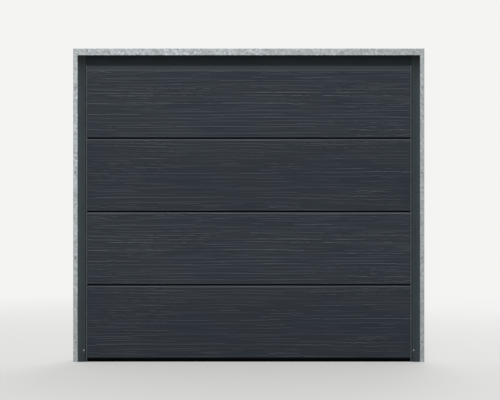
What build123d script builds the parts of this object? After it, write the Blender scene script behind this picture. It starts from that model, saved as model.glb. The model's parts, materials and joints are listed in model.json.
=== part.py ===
from build123d import *
from math import cos, radians, sin, sqrt
import os

# Sectional garage door: four insulated sections on rollers, seen closed.
# X runs across the opening, to the right as seen from outside. Y runs into the
# garage, Z up. The outer side faces -Y. Z is 0 on the floor and Y is 0 on the
# inner face of the wall, which the frame is bolted to. X is 0 on the middle of
# the left jamb's wall flange. Millimetres throughout. Places across the door
# are written from its middle, and the planes below add the shift to X.

os.makedirs("parts", exist_ok=True)

# Leaf: the sections, their joints and their skins.
CLEAR_WIDTH = 2500.0
CLEAR_HEIGHT = 2250.0
SECTIONS = 4
LEAF_OVERLAP = 10.0
LEAF_HALF = CLEAR_WIDTH / 2 + LEAF_OVERLAP
LEAF_FRONT = 12.0
LEAF_THICK = 42.0
LEAF_BACK = LEAF_FRONT + LEAF_THICK
SEAL_HEIGHT = 27.0
PITCH = CLEAR_HEIGHT / SECTIONS
LEAF_TOP = SEAL_HEIGHT + CLEAR_HEIGHT
JOINT_GAP = 8.0
EDGE_RADIUS = 3.5
TONGUE_HALF = 11.0
TONGUE_RISE = 9.0
TONGUE_PLAY = 2.0
TONGUE_Y = LEAF_FRONT + 22.0
INNER_GAP = 2.0
BEAD_DEPTH = 1.2
BEAD_HALF = 7.0
BEADS_PER_SECTION = 3

# Frame: jambs, cladding, fascia and head rail.
STEEL = 2.0
PLATE = 3.0
JAMB_OUTER = 1345.0
JAMB_STRIP = 33.0
STRIP_INNER = JAMB_OUTER - JAMB_STRIP
STRIP_MIDDLE = JAMB_OUTER - JAMB_STRIP / 2
JAMB_DEPTH = 120.0
JAMB_HEIGHT = 2400.0
JAMB_BEND = 3.0
CLADDING = 1.5
CLADDING_INNER = CLEAR_WIDTH / 2 + 6.0
CLADDING_RETURN = 4.2
CLADDING_BEND = 3.0
FLANGE_INNER = CLADDING_INNER + 8.0
FOOT_HEIGHT = 60.0
FOOT_INSET = 2.0
FOOT_RADIUS = 8.0
HEAD_BOTTOM = 2350.0
HEAD_DEPTH = 40.0
FASCIA_BOTTOM = LEAF_TOP + 6.0
FASCIA_FRONT = 2.0
FASCIA_LIP = 8.0
FASCIA_RETURN = 36.0
FASCIA_HALF = CLADDING_INNER - 1.0
WALL_HOLE = 4.5
WALL_HOLE_Z = (150.0, 800.0, 1450.0, 2100.0)
CORNER_PLATE = (48.0, 40.0)
CORNER_CUT = 6.0

# Seals: a lip with a round bead presses on the outer skin.
SIDE_BEAD = 3.5
SIDE_BEAD_X = CLEAR_WIDTH / 2 - 7.0
SIDE_BEAD_Y = LEAF_FRONT - SIDE_BEAD
SEAL_CLIP = (11.0, 3.0)
SEAL_CLIP_X = FLANGE_INNER + 2.0
SEAL_BACK = CLADDING + STEEL + SEAL_CLIP[1]
SEAL_NECK_X = CLADDING_INNER + CLADDING + 0.5
SEAL_NECK_Y = CLADDING_RETURN + 0.3
LIP_HALF = 1.25
TOP_BEAD = 2.5
TOP_BEAD_Y = LEAF_FRONT - TOP_BEAD
TOP_BEAD_Z = LEAF_TOP - 4.0
SIDE_SEAL_TOP = TOP_BEAD_Z - TOP_BEAD
RAIL_HALF = 16.0
RAIL_RISE = 6.0
RAIL_Y = (LEAF_FRONT + LEAF_BACK) / 2
SLOT_STEP = 9.0
SLOT_NECK = (3.0, 2.0)
SLOT_BELLY = (6.0, 2.0)
SEAL_LIP = 7.0
SEAL_ARCH = 13.0

# Small rounds, repeated many times, have few sides; turned pieces have more.
SMALL_SIDES = 8
TURNED_SIDES = 16
RUNNING = 0.05

# Tracks: one rolled C, used four times on each side.
TRACK_INNER = 1272.0
TRACK_OUTER = 1304.0
TRACK_HALF = 25.0
TRACK_WALL = 1.5
TRACK_MOUTH = 14.0
TRACK_BEND = 4.0
TRACK_Y = 80.0
TRACK_FOOT = 12.0
CURVE_RADIUS = 300.0
CURVE_Y = TRACK_Y + CURVE_RADIUS
CURVE_Z = 1940.0
CURVE_BENDS = 12
LOW_TRACK_Z = CURVE_Z + CURVE_RADIUS
HIGH_TRACK_Z = LOW_TRACK_Z + 70.0
TRACK_END = 2650.0
RAMP_START = (70.0, 2226.6)
RAMP_END = (318.0, HIGH_TRACK_Z)
RAMP_RADIUS = 120.0
BRACKET_HEIGHTS = (350.0, 950.0, 1550.0)
BRACKET_TALL = 40.0
BRACKET_FRONT = 60.0
BRACKET_OUTER = JAMB_OUTER - 3.0
SPLICE_PLACES = (950.0, 1950.0)
SPLICE_WIDTH = 60.0
SPLICE_REACH = 20.0
SPLICE_CUT = 8.0

# Rollers, hinges and brackets on the inner side of the leaf.
WHEEL_RADIUS = 23.0
WHEEL_WIDTH = 14.0
WHEEL_START = 1280.0
STEM_RADIUS = 5.5
STEM_INNER = 1196.0
STEM_PROUD = 2.0
STILE = 1.5
STILE_FLANGE = 62.0
STILE_FRONT = LEAF_FRONT + 4.0
STILE_BACK = LEAF_BACK + STILE
BOTTOM_ROLLER_Z = SEAL_HEIGHT + 45.0
ROLLER_ABOVE_JOINT = 38.0
TOP_ROLLER = (98.0, 2236.0)
HINGE_PLATE = 2.5
HINGE_LEAF = 62.0
LEAF_PLAY = 0.5
KNUCKLE_RADIUS = 7.0
PIN_RADIUS = 4.0
PIN_PROUD = 3.0
MIDDLE_HINGE = (0.0, 32.0, LEAF_BACK)
END_HINGE_X = 1228.0
END_HINGE_HALF = 24.0
BRACKET_HALF = 28.0
TUBE_RADIUS = 9.0
CHEEK = 2.5
CHEEK_HALF = 20.0
JOINT_BASE = (22.0, 26.0)
TOP_BASE = (60.0, 34.0)
BOTTOM_PLATE_LOW = SEAL_HEIGHT + 6.0
BOTTOM_PLATE_HIGH = SEAL_HEIGHT + 120.0
ANCHOR_CHEEK = (38.0, 50.0)
ANCHOR_OVERLAP = 20.0
ANCHOR_STUD = 4.5

# Counterbalance: shaft, springs, drums, pulleys and lift cables.
SHAFT_Y = 2740.0
SHAFT_Z = 2325.0
SHAFT = (SHAFT_Y, SHAFT_Z)
SHAFT_RADIUS = 12.7
SHAFT_HALF = 1316.0
SPRING_OUTER = 27.5
SPRING_INNER = 22.5
SPRING_START = 70.0
SPRING_END = 770.0
CONE_PLUG = 45.0
CONE_FLANGE = 8.0
CONE_HUB = 32.0
HUB_SIDE = 42.0
CABLE_X = 1266.0
CABLE_RADIUS = 2.0
CABLE_SIDES = 4
DRUM_LAY = 50.0
DRUM_RIM = DRUM_LAY + 5.0
DRUM_HALF = 14.0
DRUM_HUB = 26.0
DRUM_HUB_LONG = 30.0
RIM = 3.0
PULLEY_LAY = 40.0
PULLEY_RIM = PULLEY_LAY + 4.0
PULLEY_HALF = 5.0
PULLEY_Y = 110.0
PULLEY_Z = SHAFT_Z + DRUM_LAY - PULLEY_LAY
PULLEY = (PULLEY_Y, PULLEY_Z)
AXLE_RADIUS = 5.0
AXLE_HEAD = 8.0
AXLE_HEAD_LONG = 4.0
SPACER_RADIUS = 9.0
CABLE_Y = PULLEY_Y - PULLEY_LAY
CABLE_FOOT_Z = 52.0

# Flag brackets: the large plates behind the curve and the upper track's ramp.
FLAG_TOP = 2360.0
FLAG_LOW = 1950.0
FLAG_FRONT = 85.0
FLAG_NECK = 150.0
FLAG_REAR = 430.0
FLAG_ARC = CURVE_RADIUS - TRACK_HALF - 5.0

# Rear: cross rail, bearings and ceiling hangers.
RAIL_FRONT = TRACK_END
RAIL_DEPTH = 30.0
RAIL_BACK = RAIL_FRONT + RAIL_DEPTH
RAIL_LOW = 2295.0
RAIL_HIGH = 2355.0
BEARING_FRONT = 2560.0
BEARING_REAR = SHAFT_Y + 58.0
BEARING_LOW = LOW_TRACK_Z - 22.0
BEARING_BOSS = 24.0
BOSS_LONG = 8.0
CENTRE_ARM = 34.0
CENTRE_FOOT = 60.0
CEILING_Z = 2460.0
HANGER_YS = (1400.0, 2500.0)
HANGER_OUTER = 1340.0
HANGER_HALF = 20.0
FOOT_PLATE_X = 1322.0
FOOT_PLATE = (40.0, 80.0)
CEILING_HOLE = 5.5

# X of the door's middle. Every place across the door is measured from it.
MIDDLE_X = STRIP_MIDDLE
MIDDLE = Plane.YZ.offset(MIDDLE_X)


def plan_plane(z):
    """Sketch plane seen from above: x from the door's middle, y into the garage."""
    return Plane(origin=(MIDDLE_X, 0, z), x_dir=(1, 0, 0), z_dir=(0, 0, 1))


def side_plane(x):
    """Sketch plane across the door: sketch x is depth, sketch y is height."""
    return Plane(origin=(MIDDLE_X + x, 0, 0), x_dir=(0, 1, 0), z_dir=(1, 0, 0))


def face_plane(y):
    """Sketch plane parallel to the leaf, seen from outside: x and height."""
    return Plane(origin=(MIDDLE_X, y, 0), x_dir=(1, 0, 0), z_dir=(0, -1, 0))


def track_plane(y, z, along):
    """Plane across a track: sketch x is across the door, z_dir runs along it."""
    return Plane(origin=(MIDDLE_X, y, z), x_dir=(1, 0, 0), z_dir=along)


def keep(piece, name):
    """Label a finished sub-part and write it to its own file."""
    piece.part.label = name
    export_step(piece.part, f"parts/{name}.step")


def folded(points, wall):
    """A folded sheet's section: its outer line, with the wall on its left side."""
    with BuildLine() as fold:
        Polyline(*points)
        offset(amount=wall, kind=Kind.INTERSECTION, side=Side.LEFT)
    make_face(fold.line.edges())


def turned(start, end, place, radius, hole=0.0, sides=TURNED_SIDES):
    """A round piece across the door, from start to end, with its bore if it has one."""
    with BuildSketch(side_plane(start)) as section:
        with Locations(place):
            RegularPolygon(radius, sides)
            if hole:
                RegularPolygon(hole + RUNNING, SMALL_SIDES, major_radius=False, mode=Mode.SUBTRACT)
    extrude(section.sketch, amount=end - start)


def joint_height(number):
    """Height of the joint above section number 1, 2 or 3 from the floor."""
    return SEAL_HEIGHT + number * PITCH


JOINTS = [joint_height(number) for number in range(1, SECTIONS)]
ROLLER_HEIGHTS = [BOTTOM_ROLLER_Z] + [z + ROLLER_ABOVE_JOINT for z in JOINTS]
ROLLERS = [(TRACK_Y, z) for z in ROLLER_HEIGHTS] + [TOP_ROLLER]

# Jambs: a cold-rolled C with its inner flange set back, so that the cladding
# lies flush with the strip that is bolted to the wall.
with BuildPart() as right_jamb:
    with BuildSketch(plan_plane(0)):
        folded([
            (FLANGE_INNER, CLADDING), (STRIP_INNER, CLADDING), (STRIP_INNER, 0),
            (JAMB_OUTER - JAMB_BEND, 0), (JAMB_OUTER, JAMB_BEND),
            (JAMB_OUTER, JAMB_DEPTH - JAMB_BEND), (JAMB_OUTER - JAMB_BEND, JAMB_DEPTH),
            (STRIP_INNER, JAMB_DEPTH)], STEEL)
    extrude(amount=JAMB_HEIGHT)
    head_notch = JAMB_HEIGHT - HEAD_BOTTOM
    with BuildSketch(plan_plane(HEAD_BOTTOM)):
        with Locations((FLANGE_INNER, 0)):
            Rectangle(STRIP_INNER - FLANGE_INNER, CLADDING + STEEL, align=(Align.MIN, Align.MIN))
        with Locations((STRIP_INNER, STEEL)):
            Rectangle(STEEL, CLADDING, align=(Align.MIN, Align.MIN))
    extrude(amount=head_notch, mode=Mode.SUBTRACT)
    with BuildSketch(face_plane(STEEL)):
        with Locations([(STRIP_MIDDLE, z) for z in WALL_HOLE_Z]):
            Circle(WALL_HOLE)
    extrude(amount=STEEL, mode=Mode.SUBTRACT)
keep(right_jamb, "right_jamb")

with BuildPart() as left_jamb:
    mirror(right_jamb.part, about=MIDDLE)
keep(left_jamb, "left_jamb")

# Cladding: a folded strip in the colour of the leaf, with a rounded inner fold.
with BuildPart() as jamb_cladding:
    with BuildSketch(plan_plane(FOOT_HEIGHT)):
        with BuildLine():
            FilletPolyline((STRIP_INNER, 0), (CLADDING_INNER, 0), (CLADDING_INNER, CLADDING_RETURN),
                           radius=CLADDING_BEND)
            FilletPolyline((CLADDING_INNER + CLADDING, CLADDING_RETURN),
                           (CLADDING_INNER + CLADDING, CLADDING), (STRIP_INNER, CLADDING),
                           radius=CLADDING_BEND - CLADDING)
            Line((STRIP_INNER, 0), (STRIP_INNER, CLADDING))
            Line((CLADDING_INNER, CLADDING_RETURN), (CLADDING_INNER + CLADDING, CLADDING_RETURN))
        make_face()
    extrude(amount=HEAD_BOTTOM - FOOT_HEIGHT)
    mirror(about=MIDDLE)
keep(jamb_cladding, "jamb_cladding")

# Feet: moulded covers that end the cladding a hand's width above the floor.
FOOT_INNER = CLADDING_INNER + FOOT_INSET
FOOT_OUTER = STRIP_INNER - FOOT_INSET
with BuildPart() as jamb_feet:
    with BuildSketch(face_plane(CLADDING)):
        with BuildLine():
            foot_side = Line((FOOT_INNER, FOOT_HEIGHT), (FOOT_INNER, FOOT_RADIUS))
            foot_corner = RadiusArc(foot_side @ 1, (FOOT_INNER + FOOT_RADIUS, 0), -FOOT_RADIUS)
            Polyline(foot_corner @ 1, (FOOT_OUTER, 0), (FOOT_OUTER, FOOT_HEIGHT), foot_side @ 0)
        make_face()
    extrude(amount=CLADDING)
    with BuildSketch(plan_plane(FOOT_RADIUS)):
        with Locations((FOOT_INNER, 0)):
            Rectangle(CLADDING, CLADDING_RETURN, align=(Align.MIN, Align.MIN))
    extrude(amount=FOOT_HEIGHT - FOOT_RADIUS)
    mirror(about=MIDDLE)
keep(jamb_feet, "jamb_feet")

# Head rail: a galvanised C across the top, between the two wall flanges, with
# a plate at each end that laps the jamb on its garage side.
with BuildPart() as head_rail:
    with BuildSketch(side_plane(-STRIP_INNER)):
        folded([(HEAD_DEPTH, JAMB_HEIGHT), (0, JAMB_HEIGHT), (0, HEAD_BOTTOM),
                (HEAD_DEPTH, HEAD_BOTTOM)], STEEL)
    extrude(amount=2 * STRIP_INNER)
    with BuildSketch(face_plane(STEEL + PLATE)) as corner_plates:
        plate_x = STRIP_INNER + STEEL
        with Locations((-plate_x, (HEAD_BOTTOM + JAMB_HEIGHT) / 2),
                       (plate_x, (HEAD_BOTTOM + JAMB_HEIGHT) / 2)):
            Rectangle(*CORNER_PLATE)
        chamfer(corner_plates.vertices(), CORNER_CUT)
    extrude(amount=PLATE)
keep(head_rail, "head_rail")

# Fascia: the smooth folded strip above the leaf, between the claddings.
with BuildPart() as lintel_fascia:
    with BuildSketch(side_plane(-FASCIA_HALF)):
        folded([(FASCIA_RETURN, HEAD_BOTTOM), (FASCIA_FRONT, HEAD_BOTTOM),
                (FASCIA_FRONT, FASCIA_BOTTOM), (FASCIA_FRONT + FASCIA_LIP, FASCIA_BOTTOM)], CLADDING)
    extrude(amount=2 * FASCIA_HALF)
    front_folds = lintel_fascia.edges().filter_by(Axis.X).group_by(Axis.Y)[0]
    chamfer(front_folds, CLADDING / 2)
keep(lintel_fascia, "lintel_fascia")

with BuildPart() as side_seals:
    with BuildSketch(plan_plane(0)):
        with Locations((SEAL_CLIP_X, CLADDING + STEEL)):
            Rectangle(*SEAL_CLIP, align=(Align.MIN, Align.MIN))
        Polygon((SEAL_CLIP_X, SEAL_NECK_Y), (SEAL_CLIP_X, SEAL_BACK),
                (SIDE_BEAD_X, SIDE_BEAD_Y + LIP_HALF), (SIDE_BEAD_X, SIDE_BEAD_Y - LIP_HALF),
                (SEAL_NECK_X, SEAL_NECK_Y), align=None)
        with Locations((SIDE_BEAD_X, SIDE_BEAD_Y)):
            RegularPolygon(SIDE_BEAD, TURNED_SIDES)
    extrude(amount=SIDE_SEAL_TOP)
    mirror(about=MIDDLE)
keep(side_seals, "side_seals")

with BuildPart() as lintel_seal:
    with BuildSketch(side_plane(-FASCIA_HALF)):
        seal_back = FASCIA_FRONT + FASCIA_LIP
        Polygon((FASCIA_FRONT + STEEL, FASCIA_BOTTOM), (seal_back, FASCIA_BOTTOM),
                (TOP_BEAD_Y + LIP_HALF, TOP_BEAD_Z), (TOP_BEAD_Y - LIP_HALF, TOP_BEAD_Z), align=None)
        with Locations((TOP_BEAD_Y, TOP_BEAD_Z)):
            RegularPolygon(TOP_BEAD, SMALL_SIDES)
    extrude(amount=2 * FASCIA_HALF)
keep(lintel_seal, "lintel_seal")


# Sections: steel skins on foam, one extruded profile each. The upper edge of
# a section carries a tongue that seats in the groove of the next one.
def section_profile(number):
    """Draw the outline of section number, counted from the floor from 0."""
    bottom = joint_height(number)
    top = joint_height(number + 1)
    waist = bottom + PITCH / 2
    has_tongue = number < SECTIONS - 1
    if has_tongue:
        rim = top - JOINT_GAP / 2
        upper_corner = FilletPolyline((LEAF_FRONT, waist), (LEAF_FRONT, rim),
                                      (TONGUE_Y - TONGUE_HALF, rim), radius=EDGE_RADIUS)
        crown = ThreePointArc(upper_corner @ 1, (TONGUE_Y, top + TONGUE_RISE),
                              (TONGUE_Y + TONGUE_HALF, top - INNER_GAP / 2))
        last = Line(crown @ 1, (LEAF_BACK, top - INNER_GAP / 2))
    else:
        last = FilletPolyline((LEAF_FRONT, waist), (LEAF_FRONT, top), (LEAF_BACK, top),
                              radius=EDGE_RADIUS)
    spot = last @ 1
    for step in range(BEADS_PER_SECTION):
        middle = top - PITCH * (step + 1) / (BEADS_PER_SECTION + 1)
        bead = Polyline(spot, (LEAF_BACK, middle + BEAD_HALF), (LEAF_BACK - BEAD_DEPTH, middle),
                        (LEAF_BACK, middle - BEAD_HALF))
        spot = bead @ 1
    if number == 0:
        FilletPolyline(spot, (LEAF_BACK, bottom), (LEAF_FRONT, bottom), (LEAF_FRONT, waist),
                       radius=EDGE_RADIUS / 2)
        return
    inner = Polyline(spot, (LEAF_BACK, bottom + INNER_GAP / 2),
                     (TONGUE_Y + TONGUE_HALF + TONGUE_PLAY, bottom + INNER_GAP / 2))
    rim = bottom + JOINT_GAP / 2
    groove = ThreePointArc(inner @ 1, (TONGUE_Y, bottom + TONGUE_RISE + TONGUE_PLAY),
                           (TONGUE_Y - TONGUE_HALF - TONGUE_PLAY, rim))
    FilletPolyline(groove @ 1, (LEAF_FRONT, rim), (LEAF_FRONT, waist), radius=EDGE_RADIUS)


SECTION_NAMES = ("bottom_section", "lower_middle_section", "upper_middle_section", "top_section")
for number, section_name in enumerate(SECTION_NAMES):
    with BuildPart() as section:
        with BuildSketch(side_plane(-LEAF_HALF)):
            with BuildLine():
                section_profile(number)
            make_face()
            if number == 0:
                with Locations((RAIL_Y, SEAL_HEIGHT)):
                    Rectangle(2 * RAIL_HALF, RAIL_RISE, align=(Align.CENTER, Align.MIN),
                              mode=Mode.SUBTRACT)
        extrude(amount=2 * LEAF_HALF)
    keep(section, section_name)

# Joint seals: a black strip closes each joint just behind the outer skins.
JOINT_SEAL = 4.0
with BuildPart() as joint_seals:
    for joint in JOINTS:
        with BuildSketch(side_plane(-LEAF_HALF)):
            with Locations((LEAF_FRONT + EDGE_RADIUS + CLADDING, joint)):
                Rectangle(JOINT_SEAL, JOINT_GAP, align=(Align.MIN, Align.CENTER))
        extrude(amount=2 * LEAF_HALF)
keep(joint_seals, "joint_seals")


def rail_slots(mode):
    """The two undercut slots of the bottom rail, or the rubber that fills them."""
    neck_width, neck_deep = SLOT_NECK
    belly_width, belly_deep = SLOT_BELLY
    for slot_y in (RAIL_Y - SLOT_STEP, RAIL_Y + SLOT_STEP):
        with Locations((slot_y, SEAL_HEIGHT)):
            Rectangle(neck_width, neck_deep, align=(Align.CENTER, Align.MIN), mode=mode)
        with Locations((slot_y, SEAL_HEIGHT + neck_deep)):
            Rectangle(belly_width, belly_deep, align=(Align.CENTER, Align.MIN), mode=mode)


# Bottom rail and seal: an aluminium rail with two slots holds a rubber seal
# that stands on the floor on two lips.
with BuildPart() as bottom_seal_rail:
    with BuildSketch(side_plane(-LEAF_HALF)):
        with Locations((RAIL_Y, SEAL_HEIGHT)):
            Rectangle(2 * RAIL_HALF, RAIL_RISE, align=(Align.CENTER, Align.MIN))
        rail_slots(Mode.SUBTRACT)
    extrude(amount=2 * LEAF_HALF)
keep(bottom_seal_rail, "bottom_seal_rail")

with BuildPart() as bottom_seal:
    with BuildSketch(side_plane(-LEAF_HALF)):
        with BuildLine():
            front_lip = Polyline((LEAF_FRONT, SEAL_HEIGHT), (LEAF_FRONT, 0), (LEAF_FRONT + SEAL_LIP, 0))
            arch = ThreePointArc(front_lip @ 1, (RAIL_Y, SEAL_ARCH), (LEAF_BACK - SEAL_LIP, 0))
            Polyline(arch @ 1, (LEAF_BACK, 0), (LEAF_BACK, SEAL_HEIGHT), (LEAF_FRONT, SEAL_HEIGHT))
        make_face()
        rail_slots(Mode.ADD)
    extrude(amount=2 * LEAF_HALF)
keep(bottom_seal, "bottom_seal")

# End stiles: galvanised caps round both ends of every section.
with BuildPart() as section_end_stiles:
    for number in range(SECTIONS):
        with BuildSketch(plan_plane(joint_height(number) + INNER_GAP / 2)):
            folded([(LEAF_HALF + STILE, STILE_FRONT), (LEAF_HALF + STILE, STILE_BACK),
                    (LEAF_HALF - STILE_FLANGE, STILE_BACK)], STILE)
        extrude(amount=PITCH - INNER_GAP)
    mirror(about=MIDDLE)
keep(section_end_stiles, "section_end_stiles")


# Hinges: pressed leaves with rolled knuckles on one pin, at every joint. A
# middle one joins the skins, and one at each end joins the stiles.
END_HINGES = [(x, END_HINGE_HALF, STILE_BACK) for x in (-END_HINGE_X, END_HINGE_X)]
HINGES = [MIDDLE_HINGE] + END_HINGES


def hinge_leaf(x, half, face, joint, way):
    """A leaf and one long knuckle; way is 1 above the joint and -1 below it."""
    with BuildSketch(side_plane(x - half)) as outline:
        with Locations((face, joint + way * HINGE_LEAF / 2)):
            Rectangle(HINGE_PLATE, HINGE_LEAF, align=(Align.MIN, Align.CENTER))
        with Locations((face + KNUCKLE_RADIUS, joint)):
            RegularPolygon(KNUCKLE_RADIUS, SMALL_SIDES, major_radius=False, rotation=180 / SMALL_SIDES)
            RegularPolygon(PIN_RADIUS + RUNNING, SMALL_SIDES, mode=Mode.SUBTRACT)
    extrude(outline.sketch, amount=2 * half)


def knuckle_gap(x, width, face, joint):
    """The stretch of a hinge leaf that is cut away for the other leaf's knuckle."""
    reach = 2 * (KNUCKLE_RADIUS + STEEL)
    with BuildSketch(side_plane(x - width / 2)) as gap:
        with Locations((face, joint)):
            Rectangle(reach, reach, align=(Align.MIN, Align.CENTER))
    extrude(gap.sketch, amount=width, mode=Mode.SUBTRACT)


def upper_hinge_leaf(x, half, face, joint):
    """The leaf above a joint: one middle knuckle between those of the lower leaf."""
    hinge_leaf(x, half, face, joint, 1)
    cut = half / 2 + LEAF_PLAY
    knuckle_gap(x - half + cut / 2, cut, face, joint)
    knuckle_gap(x + half - cut / 2, cut, face, joint)


with BuildPart() as hinge_lower_leaves:
    for joint in JOINTS:
        for x, half, face in HINGES:
            hinge_leaf(x, half, face, joint, -1)
            knuckle_gap(x, half, face, joint)
keep(hinge_lower_leaves, "hinge_lower_leaves")

with BuildPart() as hinge_upper_leaves:
    for joint in JOINTS:
        upper_hinge_leaf(*MIDDLE_HINGE, joint)
keep(hinge_upper_leaves, "hinge_upper_leaves")

with BuildPart() as hinge_pins:
    for joint in JOINTS:
        for x, half, face in HINGES:
            turned(x - half - PIN_PROUD, x + half + PIN_PROUD, (face + KNUCKLE_RADIUS, joint),
                   PIN_RADIUS, sides=SMALL_SIDES)
keep(hinge_pins, "hinge_pins")


# Roller brackets: a cheeked bracket carries the tube that the stem runs in.
def roller_bracket(roller, base_low, base_high):
    """A base plate on the stile, two cheeks and a tube across them."""
    with BuildSketch(side_plane(END_HINGE_X - BRACKET_HALF)) as base:
        with Locations((STILE_BACK, base_low)):
            Rectangle(HINGE_PLATE, base_high - base_low, align=(Align.MIN, Align.MIN))
    extrude(base.sketch, amount=2 * BRACKET_HALF)
    for cheek_x in (END_HINGE_X - CHEEK_HALF, END_HINGE_X + CHEEK_HALF - CHEEK):
        with BuildSketch(side_plane(cheek_x)) as cheek:
            with Locations(roller):
                RegularPolygon(TUBE_RADIUS, SMALL_SIDES)
            with Locations((STILE_BACK, base_low)):
                Rectangle(HINGE_PLATE, base_high - base_low, align=(Align.MIN, Align.MIN))
            make_hull()
        extrude(cheek.sketch, amount=CHEEK)
    turned(END_HINGE_X - CHEEK_HALF, END_HINGE_X + CHEEK_HALF, roller, TUBE_RADIUS, sides=SMALL_SIDES)
    with BuildSketch(side_plane(END_HINGE_X - BRACKET_HALF)) as bore:
        with Locations(roller):
            RegularPolygon(STEM_RADIUS + RUNNING, SMALL_SIDES)
    extrude(bore.sketch, amount=2 * BRACKET_HALF, mode=Mode.SUBTRACT)


# At a joint the bracket is also the upper leaf of the end hinge.
with BuildPart() as roller_brackets:
    for joint in JOINTS:
        upper_hinge_leaf(END_HINGE_X, END_HINGE_HALF, STILE_BACK, joint)
    for roller_y, roller_z in ROLLERS[1:-1]:
        roller_bracket((roller_y, roller_z), roller_z - JOINT_BASE[0], roller_z + JOINT_BASE[1])
    top_z = TOP_ROLLER[1]
    roller_bracket(TOP_ROLLER, top_z - TOP_BASE[0], top_z + TOP_BASE[1])
    mirror(about=MIDDLE)
keep(roller_brackets, "roller_brackets")

# Bottom brackets: a roller bracket with a side cheek and the cable's anchor.
with BuildPart() as bottom_brackets:
    roller_bracket(ROLLERS[0], BOTTOM_PLATE_LOW, BOTTOM_PLATE_HIGH)
    anchor_x = LEAF_HALF + STILE
    with BuildSketch(side_plane(anchor_x)):
        with Locations((STILE_BACK - ANCHOR_OVERLAP, BOTTOM_PLATE_LOW)):
            Rectangle(*ANCHOR_CHEEK, align=(Align.MIN, Align.MIN))
    extrude(amount=CHEEK)
    with BuildSketch(side_plane(END_HINGE_X)):
        with Locations((STILE_BACK, BOTTOM_PLATE_LOW)):
            Rectangle(HINGE_PLATE, ANCHOR_CHEEK[1], align=(Align.MIN, Align.MIN))
    extrude(amount=anchor_x + CHEEK - END_HINGE_X)
    turned(anchor_x, CABLE_X + 2 * CABLE_RADIUS, (CABLE_Y, CABLE_FOOT_Z), ANCHOR_STUD, sides=SMALL_SIDES)
    mirror(about=MIDDLE)
keep(bottom_brackets, "bottom_brackets")

WHEEL_END = WHEEL_START + WHEEL_WIDTH
with BuildPart() as roller_stems:
    for roller in ROLLERS:
        turned(STEM_INNER, WHEEL_END + STEM_PROUD, roller, STEM_RADIUS, sides=SMALL_SIDES)
    mirror(about=MIDDLE)
keep(roller_stems, "roller_stems")

with BuildPart() as roller_wheels:
    for roller in ROLLERS:
        turned(WHEEL_START, WHEEL_END, roller, WHEEL_RADIUS, STEM_RADIUS)
    mirror(about=MIDDLE)
keep(roller_wheels, "roller_wheels")


# Tracks: a rolled C, open towards the leaf, with lips that hold the wheel.
def track_section(centre):
    """The C about a centre: sketch x is across the door, y across the mouth."""
    low = centre - TRACK_HALF
    high = centre + TRACK_HALF
    bend = TRACK_BEND
    folded([
        (TRACK_INNER, centre - TRACK_MOUTH), (TRACK_INNER, low + bend), (TRACK_INNER + bend, low),
        (TRACK_OUTER - bend, low), (TRACK_OUTER, low + bend), (TRACK_OUTER, high - bend),
        (TRACK_OUTER - bend, high), (TRACK_INNER + bend, high), (TRACK_INNER, high - bend),
        (TRACK_INNER, centre + TRACK_MOUTH)], TRACK_WALL)


with BuildPart() as right_vertical_track:
    with BuildSketch(plan_plane(TRACK_FOOT)):
        track_section(TRACK_Y)
    extrude(amount=CURVE_Z - TRACK_FOOT)
keep(right_vertical_track, "right_vertical_track")

# The curve is a quarter turn in short straight stretches that touch its arc.
# The first and the last are half as long, so that it meets both tracks square.
bend_angles = [radians(90 * (bend + 0.5) / CURVE_BENDS) for bend in range(CURVE_BENDS)]
bend_radius = CURVE_RADIUS / cos(radians(45 / CURVE_BENDS))
with BuildPart() as right_curved_track:
    with BuildLine(side_plane(TRACK_INNER)):
        bends = [(CURVE_Y - bend_radius * cos(angle), CURVE_Z + bend_radius * sin(angle))
                 for angle in bend_angles]
        Polyline((TRACK_Y, CURVE_Z), *bends, (CURVE_Y, LOW_TRACK_Z))
    with BuildSketch(plan_plane(CURVE_Z)):
        track_section(TRACK_Y)
    sweep(transition=Transition.RIGHT)
keep(right_curved_track, "right_curved_track")

with BuildPart() as right_horizontal_track:
    with BuildSketch(track_plane(CURVE_Y, LOW_TRACK_Z, (0, 1, 0))):
        track_section(0)
    extrude(amount=TRACK_END - CURVE_Y)
keep(right_horizontal_track, "right_horizontal_track")

# The top roller runs in a track of its own, up a short ramp and then level.
with BuildPart() as right_top_roller_track:
    with BuildLine(side_plane(0)):
        FilletPolyline(RAMP_START, RAMP_END, (TRACK_END, HIGH_TRACK_Z), radius=RAMP_RADIUS)
    ramp = (0, RAMP_END[0] - RAMP_START[0], RAMP_END[1] - RAMP_START[1])
    with BuildSketch(track_plane(*RAMP_START, ramp)):
        track_section(0)
    sweep()
keep(right_top_roller_track, "right_top_roller_track")

RIGHT_TRACKS = {
    "left_vertical_track": right_vertical_track,
    "left_curved_track": right_curved_track,
    "left_horizontal_track": right_horizontal_track,
    "left_top_roller_track": right_top_roller_track,
}
for left_name, right_track in RIGHT_TRACKS.items():
    with BuildPart() as left_track:
        mirror(right_track.part, about=MIDDLE)
    keep(left_track, left_name)

# Track brackets: angles from the jamb's rear flange to the back of the track.
with BuildPart() as track_brackets:
    for z in BRACKET_HEIGHTS:
        with BuildSketch(plan_plane(z)):
            folded([(BRACKET_OUTER, JAMB_DEPTH + PLATE), (TRACK_OUTER, JAMB_DEPTH + PLATE),
                    (TRACK_OUTER, BRACKET_FRONT)], PLATE)
        extrude(amount=BRACKET_TALL)
    mirror(about=MIDDLE)
keep(track_brackets, "track_brackets")

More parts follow.
